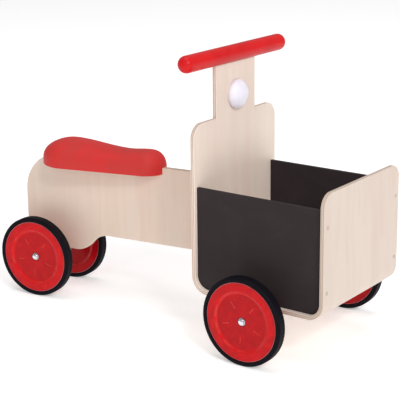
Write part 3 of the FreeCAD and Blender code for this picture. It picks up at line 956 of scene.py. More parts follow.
def dress_node(node: str, finish: Finish) -> None:
    """Gives a CAD node that stays in view its finish.

    Args:
        node: the node's name.
        finish: the finish.
    """
    thing = frame["nodes"][node]
    thing.data.materials.clear()
    thing.data.materials.append(finish.material())
    log.info("%s keeps its shape and takes %s", node, finish.name)


# ---- fasteners ----


class Drive(Enum):
    """Shape of the recess in a fastener's head."""

    CROSS = "cross"
    HEXAGON = "hexagon"


@dataclass(frozen=True)
class Recess:
    """A recess for a driver: its shape, furthest reach and depth, and how it narrows downward."""

    drive: Drive
    radius: float
    depth: float
    waist: float = 0.30
    narrowing: float = 0.8

    def reach(self, angle: float) -> float:
        """Distance from the middle to the recess's edge.

        Args:
            angle: the direction, in radians.

        Returns:
            The distance.
        """
        if self.drive is Drive.HEXAGON:
            fold = angle % (math.pi / 3) - math.pi / 6
            return self.radius * math.cos(math.pi / 6) / math.cos(fold)
        fold = abs((angle + math.pi / 4) % (math.pi / 2) - math.pi / 4)
        if math.tan(fold) <= self.waist:
            return self.radius / math.cos(fold)
        return self.radius * self.waist / math.sin(fold)


@dataclass(frozen=True)
class Fasteners:
    """Sizes of the screws, bolts, nuts and plugs, in metres."""

    head_radius: float = 5.5 * MM
    head_height: float = 2.6 * MM
    head_dome: float = 2.2 * MM
    bolt_radius: float = 2.5 * MM
    screw_head_radius: float = 4.0 * MM
    screw_rim: float = 0.12 * MM
    proud: float = 0.2 * MM
    round_nut_proud: float = 0.3 * MM
    sunk: float = 1.0 * MM
    nut_flats: float = 8.0 * MM
    nut_chamfer: float = 0.45 * MM
    plug_radius: float = 3.0 * MM
    rim: float = 0.15 * MM
    facets: int = 24
    cross: Recess = Recess(Drive.CROSS, 2.3 * MM, 0.9 * MM)
    socket: Recess = Recess(Drive.HEXAGON, 1.75 * MM, 1.5 * MM)
    shallow_socket: Recess = Recess(Drive.HEXAGON, 2 * MM, 0.8 * MM)

    def standing(self, point: Vector, out: Vector) -> Matrix:
        """Placement that stands a shape made along +Z on a point, facing a direction."""
        return Matrix.Translation(point) @ out.to_track_quat("Z", "Y").to_matrix().to_4x4()

    def stud(self, radius: float, low: float, high: float, rim: float, steps: int = 2,
             facets: Optional[int] = None) -> Blank:
        """A round or many-sided bar along +Z with a softened top rim.

        Args:
            radius: its radius to the corners.
            low: height of its foot.
            high: height of its top.
            rim: width of the softened rim.
            steps: facets across the rim.
            facets: how many sides it has.

        Returns:
            The bar.
        """
        blank = Blank()
        bmesh.ops.create_cone(blank.mesh, cap_ends=True, segments=facets or self.facets, radius1=radius,
                              radius2=radius, depth=high - low,
                              matrix=Matrix.Translation((0, 0, (low + high) / 2)))
        top = high - (high - low) * 0.01
        return blank.soften(rim, steps, where=lambda edge: min(v.co.z for v in edge.verts) > top)

    def sink(self, blank: Blank, recess: Recess) -> Blank:
        """Sinks a recess into the top of a head.

        Args:
            blank: the head, along +Z.
            recess: the recess.

        Returns:
            The same head.
        """
        top = max(blank.mesh.faces, key=lambda face: face.calc_center_median().z)
        bmesh.ops.inset_individual(blank.mesh, faces=[top], thickness=self.rim, depth=0.0)
        for vert in top.verts:
            angle = math.atan2(vert.co.y, vert.co.x)
            reach = recess.reach(angle)
            vert.co.x, vert.co.y = reach * math.cos(angle), reach * math.sin(angle)
        made = bmesh.ops.extrude_discrete_faces(blank.mesh, faces=[top])
        verts = list(made["faces"][0].verts)
        bmesh.ops.translate(blank.mesh, verts=verts, vec=Z * -recess.depth)
        bmesh.ops.scale(blank.mesh, verts=verts, vec=Vector((recess.narrowing, recess.narrowing, 1.0)))
        return blank

    def screw(self, point: Vector, out: Vector) -> Blank:
        """Flat head of a wood screw, lying in a surface at a point and facing outward."""
        head = self.stud(self.screw_head_radius, -self.sunk, self.proud, self.screw_rim)
        return self.sink(head, self.cross).move(self.standing(point, out))

    def screws(self, spans: Iterable[Span], out: Vector) -> Blank:
        """Flat heads on the ends of some screws, all facing one way."""
        return Blank().join(self.screw(span.face(out), out) for span in spans)

    def bolt(self, span: Span, out: Vector) -> Blank:
        """Round-headed bolt with a hexagon socket.

        Args:
            span: the bolt's whole box.
            out: the direction that its head faces.

        Returns:
            The bolt.
        """
        head = self.stud(self.head_radius, 0.0, self.head_height, self.head_dome, 5)
        self.sink(head, self.socket)
        shank = self.stud(self.bolt_radius, self.head_height - span.reach(out), 0.4 * MM, 0.1 * MM)
        return head.join([shank]).move(self.standing(span.face(out) - out * self.head_height, out))

    def nut(self, span: Span, out: Vector, flats: float = nut_flats) -> Blank:
        """Hexagon nut with chamfered corners.

        Args:
            span: the nut's box.
            out: the direction away from what it bears on.
            flats: its width across the flats.

        Returns:
            The nut.
        """
        nut = self.stud(flats / math.sqrt(3), 0.0, span.reach(out), self.nut_chamfer, 1, 6)
        return nut.move(self.standing(span.face(-out), out))

    def round_nut(self, span: Span, out: Vector) -> Blank:
        """Round nut with a hexagon socket, lying in the side of a piece of wood."""
        nut = self.stud(span.size.x / 2, -self.sunk, self.round_nut_proud, self.rim)
        return self.sink(nut, self.shallow_socket).move(self.standing(span.face(out), out))

    def plug(self, span: Span, out: Vector) -> Blank:
        """Wooden plug whose sanded end stands a hair proud of the panel."""
        plug = self.stud(self.plug_radius, -self.sunk, self.proud, self.rim)
        return plug.move(self.standing(span.face(out), out))


# ---- shapes that several assemblies share ----


def slab_in(span: Span, lower: float, upper: float, edge: float = SOFT_EDGE) -> Blank:
    """A board that fills a box, with round corners as seen from the side.

    Args:
        span: the box.
        lower: radius of the lower corners.
        upper: radius of the upper corners.
        edge: width of the softened edges.

    Returns:
        The board.
    """
    low, high = span.low, span.high
    corners = [(low.x, high.z, upper), (low.x, low.z, lower), (high.x, low.z, lower), (high.x, high.z, upper)]
    return Blank.slab(corners, X, Z, Y * low.y, Y * span.size.y).soften(edge, 3, CUT_EDGE)


def tubes_in(spans: Iterable[Span], axis: Vector, rim: float) -> Blank:
    """Tubes on an axle or a pin that fill some boxes.

    Args:
        spans: the boxes.
        axis: direction of the bore.
        rim: radius of the outer rims.

    Returns:
        The tubes.
    """
    tubes = []
    for span in spans:
        outer, half = span.size.x / 2, span.reach(axis) / 2
        corners = [(AXLE_RADIUS, -half, 0), (outer, -half, rim), (outer, half, rim), (AXLE_RADIUS, half, 0)]
        tubes.append(Blank.turned(corners, span.centre, axis, closed=True))
    return Blank().join(tubes)


@dataclass(frozen=True)
class AxleEnds:
    """What sits on both ends of an axle: the spacers against the wood, and the domed caps outside."""

    half: Half
    end: str
    spacer_rim: float = 0.4 * MM
    neck: float = 4.9 * MM
    dome: float = 3.0 * MM
    crisp: float = 0.3 * MM

    def cap(self, span: Span) -> Blank:
        """A domed cap: a skirt, a narrower neck and a low dome.

        Args:
            span: the cap's box.

        Returns:
            The cap.
        """
        outward = Y if span.centre.y > 0 else -Y
        length, radius, crisp = span.size.y, span.size.x / 2, self.crisp
        corners = [(0, 0, 0), (radius, 0, crisp), (radius, length - 3.6 * MM, crisp),
                   (self.neck, length - 3.4 * MM, crisp), (self.neck, length - 1.6 * MM, 1.2 * MM),
                   (self.dome, length - 0.2 * MM, 4 * MM), (0, length, 0)]
        return Blank.turned(corners, span.face(-outward), outward, steps=64)

    def build(self) -> None:
        """Builds the spacers and the caps, and dresses the axle."""
        spacers = tubes_in(self.half.spans(self.end + "_spacers"), Y, self.spacer_rim)
        spacers.piece(self.end + "_axle_spacers", self.half, NYLON, self.end + "_spacers")
        caps = Blank().join(self.cap(span) for span in self.half.spans(self.end + "_axle_caps"))
        caps.piece(self.end + "_axle_cap_domes", self.half, CHROME, self.end + "_axle_caps", crease=60.0)
        dress_node(self.end + "_axle", ZINC)


# ---- the cargo carrier ----


@dataclass
class CargoCarrier:
    """The steered half: a bent plywood carrier with its panels, handlebar, lamp and axle block."""

    half: Half
    hardware: Fasteners = Fasteners()
    ply: float = 6.5 * MM
    bend_radius: float = 26 * MM
    bend_steps: int = 15
    split: float = 100 * MM
    back: float = 22 * MM
    front: float = 244 * MM
    half_width: float = 105.1 * MM
    half_neck: float = 49.5 * MM
    neck_top: float = 412 * MM
    neck_foot_round: float = 1.2 * MM
    shoulder: float = 323.5 * MM
    shoulder_radius: float = 22 * MM
    front_top: float = 255.5 * MM
    front_radius: float = 21 * MM
    edge_round: float = 0.7 * MM
    let_in: float = 2.0 * MM
    panel_edge: float = 0.5 * MM
    bar_radius: float = 12.5 * MM
    lamp_radius: float = 21.5 * MM
    lamp_half_depth: float = 11.4 * MM
    lamp_standoff: float = 3.9 * MM
    lamp_rim: float = 0.8 * MM
    block_round: float = 5.7 * MM

    def shell(self) -> None:
        """The rear panel, floor and front panel as one bent strip of plywood."""
        blank = Blank()
        wide, neck = self.half_width, self.half_neck
        corners = [(-wide, self.split, 0), (wide, self.split, 0),
                   (wide, self.shoulder, self.shoulder_radius), (neck, self.shoulder, self.neck_foot_round),
                   (neck, self.neck_top, 0), (-neck, self.neck_top, 0),
                   (-neck, self.shoulder, self.neck_foot_round), (-wide, self.shoulder, self.shoulder_radius)]
        blank.outline(corners, Y, Z, X * self.back, closed=True, filled=True)
        low = [edge for edge in blank.mesh.edges
               if all(abs(vert.co.z - self.split) < 0.01 * MM for vert in edge.verts)]
        first = Vector((self.back + self.bend_radius, 0, self.split))
        second = Vector((self.front - self.bend_radius, 0, self.split))
        low = self.bend(blank, low, first)
        low = self.push(blank, low, second - first)
        low = self.bend(blank, low, second)
        top = self.push(blank, low, Z * (self.front_top - self.split))
        for vert in {vert for edge in top for vert in edge.verts}:
            blank.round_corner(vert, self.front_radius)
        blank.outward()
        middle = next(face for face in blank.mesh.faces if face.calc_center_median().z > self.shoulder / 2
                      and face.calc_center_median().x < self.front / 2)
        if middle.normal.x > 0:
            bmesh.ops.reverse_faces(blank.mesh, faces=blank.mesh.faces[:])
        bmesh.ops.solidify(blank.mesh, geom=blank.mesh.faces[:], thickness=self.ply)
        blank.soften(self.edge_round, 3, CUT_EDGE)
        blank.piece("carrier_shell_plywood", self.half, BENT_PLY, "carrier_shell", grain=self.unrolled)

    def bend(self, blank: Blank, edges: list[bmesh.types.BMEdge],
             centre: Vector) -> list[bmesh.types.BMEdge]:
        """Carries a sheet's edge round a quarter bend.

        Args:
            blank: the sheet.
            edges: the edge to carry on from.
            centre: a point on the bend's axis.

        Returns:
            The new last edge.
        """
        made = bmesh.ops.spin(blank.mesh, geom=edges, cent=centre, axis=-Y, dvec=Vector(),
                              angle=math.pi / 2, steps=self.bend_steps, use_merge=False)
        return only(bmesh.types.BMEdge, made["geom_last"])

    def push(self, blank: Blank, edges: list[bmesh.types.BMEdge],
             way: Vector) -> list[bmesh.types.BMEdge]:
        """Carries a sheet's edge straight on.

        Args:
            blank: the sheet.
            edges: the edge to carry on from.
            way: how far it goes.

        Returns:
            The new last edge.
        """
        made = bmesh.ops.extrude_edge_only(blank.mesh, edges=edges)["geom"]
        verts = only(bmesh.types.BMVert, made)
        bmesh.ops.translate(blank.mesh, verts=verts, vec=way)
        return [edge for edge in only(bmesh.types.BMEdge, made) if all(vert in verts for vert in edge.verts)]

    def unrolled(self, point: Vector) -> Vector:
        """Where a point of the bent strip lies in the flat sheet.

        Args:
            point: the point, in the carrier's frame.

        Returns:
            Its place across, into and along the sheet.
        """
        arc = (self.bend_radius - self.ply / 2) * math.pi / 2
        first, second = self.back + self.bend_radius, self.front - self.bend_radius
        if point.z > self.split and point.x < (self.back + self.front) / 2:
            return Vector((point.y, point.x - self.back, self.split - point.z))
        if point.z > self.split:
            return Vector((point.y, self.front - point.x, 2 * arc + second - first + point.z - self.split))
        if first <= point.x <= second:
            depth = point.z - (self.split - self.bend_radius)
            return Vector((point.y, depth, arc + point.x - first))
        centre = first if point.x < first else second
        across, down = point.x - centre, self.split - point.z
        depth = self.bend_radius - math.hypot(across, down)
        turned = math.atan2(down, abs(across)) / (math.pi / 2)
        start = turned * arc if point.x < first else 2 * arc + second - first - turned * arc
        return Vector((point.y, depth, start))

    def side_panels(self) -> None:
        """The chalkboard sides of the cargo box, with their plugged screws."""
        bend = self.bend_radius - (self.ply - self.let_in)
        for side in ("left", "right"):
            blank = slab_in(self.half.span("side_panel_" + side), bend, 0, self.panel_edge)
            blank.piece("side_panel_" + side + "_chalkboard", self.half,
                        Chalkboard("chalkboard paint", Slot.CHALKBOARD), "side_panel_" + side)
        plugs = [self.hardware.plug(span, X if span.centre.x > (self.back + self.front) / 2 else -X)
                 for span in self.half.spans("panel_plugs")]
        wood = SolidWood("plug end grain", Slot.HARDWOOD, (300, 300, 300), light=(0.54, 0.43, 0.35),
                         dark=(0.46, 0.35, 0.28))
        Blank().join(plugs).piece("panel_plug_ends", self.half, wood, "panel_plugs")
        dress_node("panel_screws", ZINC)

    def handlebar(self) -> None:
        """The red dowel with its round ends, and the heads of its two screws on the rear side."""
        span = self.half.span("handlebar")
        radius, reach = self.bar_radius, span.size.y / 2
        corners = [(0, -reach, 0), (radius, -reach, radius * FULL_ROUND),
                   (radius, reach, radius * FULL_ROUND), (0, reach, 0)]
        bar = Blank.turned(corners, span.centre, Y, steps=64)
        bar.piece("handlebar_dowel", self.half, PaintedWood("red painted dowel", Slot.DOWEL), "handlebar")
        heads = []
        for screw in self.half.spans("handlebar_screws"):
            out = Vector((screw.low.x - span.centre.x, 0, screw.centre.z - span.centre.z)).normalized()
            point = Vector((span.centre.x, screw.centre.y, span.centre.z)) + out * radius
            heads.append(self.hardware.screw(point, out))
        Blank().join(heads).piece("handlebar_screw_heads", self.half, ZINC, "handlebar_screws")

    def headlamp(self) -> None:
        """The white half ball on the neck, with a flat back, and its screw's head behind the neck."""
        span = self.half.span("headlamp")
        face = span.low.x
        centre = Vector((face + self.lamp_standoff, span.centre.y, span.centre.z))
        blank = Blank()
        turn = Matrix.Rotation(math.pi / 2, 4, "Y")
        squash = Matrix.Diagonal((self.lamp_half_depth, self.lamp_radius, self.lamp_radius, 1.0))
        bmesh.ops.create_uvsphere(blank.mesh, u_segments=96, v_segments=48, radius=1.0,
                                  matrix=Matrix.Translation(centre) @ squash @ turn)
        everything = blank.mesh.verts[:] + blank.mesh.edges[:] + blank.mesh.faces[:]
        cut = bmesh.ops.bisect_plane(blank.mesh, geom=everything, dist=TOUCHING, plane_co=X * face,
                                     plane_no=X, clear_inner=True)
        bmesh.ops.contextual_create(blank.mesh, geom=only(bmesh.types.BMEdge, cut["geom_cut"]))
        blank.outward().soften(self.lamp_rim, 3, 50.0)
        blank.piece("headlamp_dome", self.half, LAMP_SHELL, "headlamp")
        screw = self.half.span("headlamp_screw")
        head = self.hardware.screw(Vector((self.back, screw.centre.y, screw.centre.z)), -X)
        head.piece("headlamp_screw_head", self.half, ZINC, "headlamp_screw")

    def axle_block(self) -> None:
        """The hardwood block under the floor that the front axle runs through, and its screws' heads."""
        heads = self.hardware.screws(self.half.spans("axle_block_screws"), Z)
        heads.piece("axle_block_screw_heads", self.half, ZINC, "axle_block_screws")
        beech = SolidWood("beech across", Slot.HARDWOOD, (70, 7, 70))
        block = slab_in(self.half.span("axle_block"), self.block_round, 0)
        block.piece("front_axle_block", self.half, beech, "axle_block")

    def build(self) -> None:
        """Builds every piece of the carrier."""
        self.shell()
        self.side_panels()
        self.handlebar()
        self.headlamp()
        self.axle_block()
        AxleEnds(self.half, "front").build()


# ---- the steering hinge ----


@dataclass
class SteeringHinge:
    """The two brackets on the carrier, the pin through them, and the post that turns on it."""

    carrier: Half
    board: Half
    hardware: Fasteners = Fasteners()
    wall: float = 3.0 * MM
    plate_round: float = 6.0 * MM
    wall_end_round: float = 2.6 * MM
    fold_round: float = 2.0 * MM
    wall_edge: float = 0.5 * MM
    post_slot: float = -8.0 * MM
    board_half: float = 5.0 * MM
    pin_flats: float = 13.0 * MM
    pin_head: float = 5.3 * MM
    pin_thread: float = 0.99
    washer_rim: float = 0.25 * MM
    bush_radius: float = 6.0 * MM
    bush_depth: float = 16.0 * MM
    flange_rim: float = 0.3 * MM

    def bracket(self, level: str, plate_on_top: bool) -> None:
        """A bracket: a web on the panel, two side walls, and a plate for the pin.

        Args:
            level: upper or lower.
            plate_on_top: whether the plate is above the walls, and not below them.
        """
        span = self.carrier.span("hinge_bracket_" + level)
        low, high, wall = span.low, span.high, self.wall
        plate_low = high.z - wall if plate_on_top else low.z
        walls_low = low.z if plate_on_top else low.z + wall
        inner, low_inner, high_inner = high.x - wall, low.y + wall, high.y - wall
        channel = [(high.x, low.y, 0), (high.x, high.y, 0), (low.x, high.y, self.wall_end_round),
                   (low.x, high_inner, 0), (inner, high_inner, self.fold_round),
                   (inner, low_inner, self.fold_round), (low.x, low_inner, 0),
                   (low.x, low.y, self.wall_end_round)]
        plate = [(high.x, low.y, 0), (high.x, high.y, 0), (low.x, high.y, self.plate_round),
                 (low.x, low.y, self.plate_round)]
        walls = Blank.slab(channel, X, Y, Z * walls_low, Z * (span.size.z - wall))
        walls.soften(self.wall_edge, 2, CUT_EDGE)
        top = Blank.slab(plate, X, Y, Z * plate_low, Z * wall).soften(SOFT_EDGE, 3, CUT_EDGE)
        walls.join([top]).piece("hinge_bracket_" + level + "_folded", self.carrier, POWDER_COAT,
                                "hinge_bracket_" + level)

    def pin(self) -> None:
        """The steering pin, a long bolt with a chamfered hexagon head, with its nut and washers."""
        span = self.carrier.span("steering_pin")
        head_low = span.high.z - self.pin_head
        tools = self.hardware
        head = tools.stud(self.pin_flats / math.sqrt(3), head_low, span.high.z, 0.6 * MM, 1, 6)
        shank = tools.stud(AXLE_RADIUS, span.low.z, head_low + 0.5 * MM, 0.1 * MM)
        point = tools.stud(AXLE_RADIUS * self.pin_thread, -0.5 * MM, 0.6 * MM, 0.5 * MM)
        point.move(Matrix.Translation((0, 0, span.low.z)) @ Matrix.Rotation(math.pi, 4, "X"))
        head.join([shank, point]).piece("steering_pin_bolt", self.carrier, ZINC, "steering_pin")
        nut = tools.nut(self.carrier.span("steering_nut"), -Z, self.pin_flats)
        nut.piece("steering_pin_nut", self.carrier, ZINC, "steering_nut")
        washers = tubes_in(self.carrier.spans("pin_washers"), Z, self.washer_rim)
        washers.piece("steering_pin_washers", self.carrier, ZINC, "pin_washers")

    def post(self) -> None:
        """The hardwood post, round in front, with a slot behind for the board."""
        span = self.board.span("hinge_post")
        half, slot = span.size.y / 2, self.board_half
        corners = [(span.low.x, -half, 0), (half, -half, half * FULL_ROUND), (half, half, half * FULL_ROUND),
                   (span.low.x, half, 0), (span.low.x, slot, 0), (self.post_slot, slot, 0),
                   (self.post_slot, -slot, 0), (span.low.x, -slot, 0)]
        blank = Blank.slab(corners, X, Y, Z * span.low.z, Z * span.size.z).soften(SOFT_EDGE, 3, CUT_EDGE)
        beech = SolidWood("beech upright", Slot.HARDWOOD, (70, 70, 7))
        blank.piece("hinge_post_beech", self.board, beech, "hinge_post")

    def bushes(self) -> None:
        """The flanged nylon bushes at the top and bottom of the post."""
        spans = self.board.spans("hinge_bushes")
        middle = self.board.span("hinge_post").centre.z
        rings = []
        for span in spans:
            upward = Z if span.centre.z > middle else -Z
            length, flange, bore = span.size.z, span.size.x / 2, AXLE_RADIUS
            corners = [(bore, 0, 0), (self.bush_radius, 0, 0), (self.bush_radius, self.bush_depth, 0),
                       (flange, self.bush_depth, self.flange_rim), (flange, length, self.flange_rim),
                       (bore, length, 0)]
            rings.append(Blank.turned(corners, span.face(-upward), upward, closed=True))
        Blank().join(rings).piece("hinge_bushes_flanged", self.board, NYLON, "hinge_bushes")

    def build(self) -> None:
        """Builds every piece of the hinge."""
        self.bracket("upper", True)
        self.bracket("lower", False)
        self.pin()
        heads = self.hardware.screws(self.carrier.spans("bracket_screws"), -X)
        heads.piece("bracket_screw_heads", self.carrier, ZINC, "bracket_screws")
        self.post()
        self.bushes()


# ---- the upright board ----


@dataclass
class UprightBoard:
    """The trailing half's board, its rear cheeks and its cross bolts."""

    half: Half
    hardware: Fasteners = Fasteners()
    thickness: float = 10 * MM
    rear_axle: float = -310 * MM
    bottom: float = 100.5 * MM
    top_radius: float = 65 * MM
    tail_radius: float = 24 * MM
    lobe_radius: float = 37.5 * MM
    lobe_start: float = 66 * MM
    lobe_end: float = 89 * MM
    edge_round: float = 1.5 * MM
    cheek_round: float = 4.8 * MM

    def board(self) -> None:
        """The single upright board, with its dropped tail."""
        span = self.half.span("frame_board")
        low, high = span.low, span.high
        lobe_start, lobe_end = self.rear_axle + self.lobe_start, self.rear_axle + self.lobe_end
        corners = [(low.x, low.z, self.tail_radius), (lobe_start, low.z, self.lobe_radius),
                   (lobe_end, self.bottom, self.lobe_radius), (high.x, self.bottom, 0),
                   (high.x, high.z, 0), (low.x, high.z, self.top_radius)]
        blank = Blank.slab(corners, X, Z, Y * low.y, Y * span.size.y)
        front = high.x - 1 * MM
        blank.soften(self.edge_round, 4, CUT_EDGE, lambda edge: min(v.co.x for v in edge.verts) < front)
        blank.piece("upright_board_plywood", self.half, BOARD_PLY_PAINTED_SHADE, "frame_board", grain=self.figured)

    def figured(self, point: Vector) -> Vector:
        """The board's grain stands upright."""
        return Vector((point.x + 1.0, point.y + self.thickness / 2, point.z))

    def cheeks(self) -> None:
        """The hardwood blocks beside the board that the rear axle runs through."""
        beech = SolidWood("beech cheek", Slot.HARDWOOD, (70, 70, 7))
        for side in ("left", "right"):
            cheek = slab_in(self.half.span("rear_cheek_" + side), self.cheek_round, self.cheek_round)
            cheek.piece("rear_axle_cheek_" + side, self.half, beech, "rear_cheek_" + side)

    def cross_hardware(self) -> None:
        """The bolts and nuts across the board, at the post and at the cheeks."""
        for where in ("post", "cheek"):
            bolts = [self.hardware.bolt(span, -Y) for span in self.half.spans(where + "_bolts")]
            nuts = [self.hardware.nut(span, Y) for span in self.half.spans(where + "_nuts")]
            Blank().join(bolts).piece(where + "_bolts_round_head", self.half, ZINC, where + "_bolts")
            Blank().join(nuts).piece(where + "_nuts_hexagon", self.half, ZINC, where + "_nuts")

    def build(self) -> None:
        """Builds every piece of the board."""
        self.board()
        self.cheeks()
        self.cross_hardware()
        AxleEnds(self.half, "rear").build()


# ---- the saddle ----


@dataclass
class Saddle:
    """The moulded saddle: a hump, a dip and a nose over a short upright skirt."""

    half: Half
    hardware: Fasteners = Fasteners()
    rear_axle: float = -310 * MM
    start: float = -4 * MM
    length: float = 216 * MM
    side_height: float = 9 * MM
    rear_half: float = 47 * MM
    front_half: float = 30 * MM
    rear_round: float = 49 * MM
    front_round: float = 30 * MM
    hump: float = 253.5 * MM
    dip: float = 246.5 * MM
    nose: float = 250 * MM
    hump_at: float = 38 * MM
    dip_at: float = 140 * MM
    nose_at: float = 186 * MM
    squareness: float = 2.3
    shell: float = 4 * MM
    hollow: float = 9.5 * MM
    foot_round: float = 1.4 * MM
    cleat_edge: float = 0.8 * MM
    tiny: float = 1e-6

    def half_width(self, x: float) -> float:
        """Half the saddle's width.

        Args:
            x: the distance from the rear axle.

        Returns:
            Half the width there.
        """
        taper_start, taper_end = self.start + self.rear_round, self.start + self.length - self.front_round
        if x < taper_start:
            return self.rear_half * math.sqrt(max(0.0, 1 - ((taper_start - x) / self.rear_round) ** 2))
        if x > taper_end:
            return self.front_half * math.sqrt(max(0.0, 1 - ((x - taper_end) / self.front_round) ** 2))
        share = (x - taper_start) / (taper_end - taper_start)
        return self.rear_half + (self.front_half - self.rear_half) * share

    @staticmethod
    def ease(share: float) -> float:
        """Smooth rise from nought to one."""
        return (1 - math.cos(math.pi * min(max(share, 0.0), 1.0))) / 2

    def crown(self, x: float, base: float) -> float:
        """Height of the middle line at a distance from the rear axle.

        Args:
            x: the distance.
            base: height where the skirt ends and the crown begins.

        Returns:
            The height.
        """
        falling, rising = self.dip_at - self.hump_at, self.nose_at - self.dip_at
        line = self.hump + (self.dip - self.hump) * self.ease((x - self.hump_at) / falling)
        line += (self.nose - self.dip) * self.ease((x - self.dip_at) / rising)
        tail = (x - self.start) / (self.hump_at - self.start)
        nose = (self.start + self.length - x) / (self.start + self.length - self.nose_at)
        rounding = 1.0
        for share in (tail, nose):
            rounding *= math.sqrt(max(0.0, 1 - (1 - min(share, 1.0)) ** 2))
        return base + (line - base) * rounding

    def moulding(self) -> None:
        """The saddle's shell, drawn from a half ball that is flattened onto its plan and its crown."""
        skirt = self.half.span("seat").low.z
        base = skirt + self.side_height
        blank = Blank()
        bmesh.ops.create_uvsphere(blank.mesh, u_segments=128, v_segments=64, radius=1.0)
        everything = blank.mesh.verts[:] + blank.mesh.edges[:] + blank.mesh.faces[:]
        bmesh.ops.bisect_plane(blank.mesh, geom=everything, dist=self.tiny, plane_co=Vector(), plane_no=Z,
                               clear_inner=True)
        rim = [edge for edge in blank.mesh.edges if edge.is_boundary]
        for vert in blank.mesh.verts:
            self.lay(vert, base)
        blank.outward()
        made = bmesh.ops.extrude_edge_only(blank.mesh, edges=rim)["geom"]
        bmesh.ops.translate(blank.mesh, verts=only(bmesh.types.BMVert, made), vec=Z * (skirt - base))
        foot = [edge for edge in blank.mesh.edges if edge.is_boundary]
        bmesh.ops.contextual_create(blank.mesh, geom=foot)
        blank.outward()
        blank.soften(self.foot_round, 3, CUT_EDGE)
        under = [max(blank.mesh.faces, key=lambda face: face.calc_area())]
        bmesh.ops.inset_region(blank.mesh, faces=under, thickness=self.shell, depth=0.0, use_even_offset=True)
        made = bmesh.ops.extrude_discrete_faces(blank.mesh, faces=under)["faces"]
        bmesh.ops.translate(blank.mesh, verts=list(made[0].verts), vec=Z * self.hollow)
        blank.outward()
        blank.piece("saddle_moulding", self.half, SaddleSkin("red saddle moulding", Slot.SADDLE), "seat",
                    crease=70.0)

    def lay(self, vert: bmesh.types.BMVert, base: float) -> None:
        """Moves a point of the half ball onto the saddle's surface.

        Args:
            vert: the point.
            base: height where the crown begins.
        """
        along = min(max(vert.co.x, -1.0), 1.0)
        chord = math.sqrt(max(0.0, 1 - along * along))
        across = min(max(vert.co.y / chord if chord > self.tiny else 0.0, -1.0), 1.0)
        x = self.start + self.length * (along + 1) / 2
        rise = (1 - abs(across) ** self.squareness) ** (1 / self.squareness)
        height = base + (self.crown(x, base) - base) * rise
        vert.co = Vector((self.rear_axle + x, across * self.half_width(x), height))

    def cleats(self) -> None:
        """The hardwood cleats under the saddle, with their nuts, screws and bolts."""
        beech = SolidWood("beech along", Slot.HARDWOOD, (7, 70, 70), turn=self.half.turn)
        for side in ("left", "right"):
            span = self.half.span("seat_cleat_" + side)
            blank = Blank.block(span.low, span.high).soften(self.cleat_edge, 3)
            blank.piece("saddle_cleat_" + side, self.half, beech, "seat_cleat_" + side)
        nuts = [self.hardware.round_nut(span, Y if span.centre.y > 0 else -Y)
                for span in self.half.spans("cleat_nuts")]
        Blank().join(nuts).piece("cleat_nuts_round", self.half, ZINC, "cleat_nuts")
        heads = self.hardware.screws(self.half.spans("seat_screws"), -Z)
        heads.piece("saddle_screw_heads", self.half, ZINC, "seat_screws")
        dress_node("cleat_bolts", ZINC)

    def build(self) -> None:
        """Builds every piece of the saddle."""
        self.moulding()
        self.cleats()


# ---- wheels ----


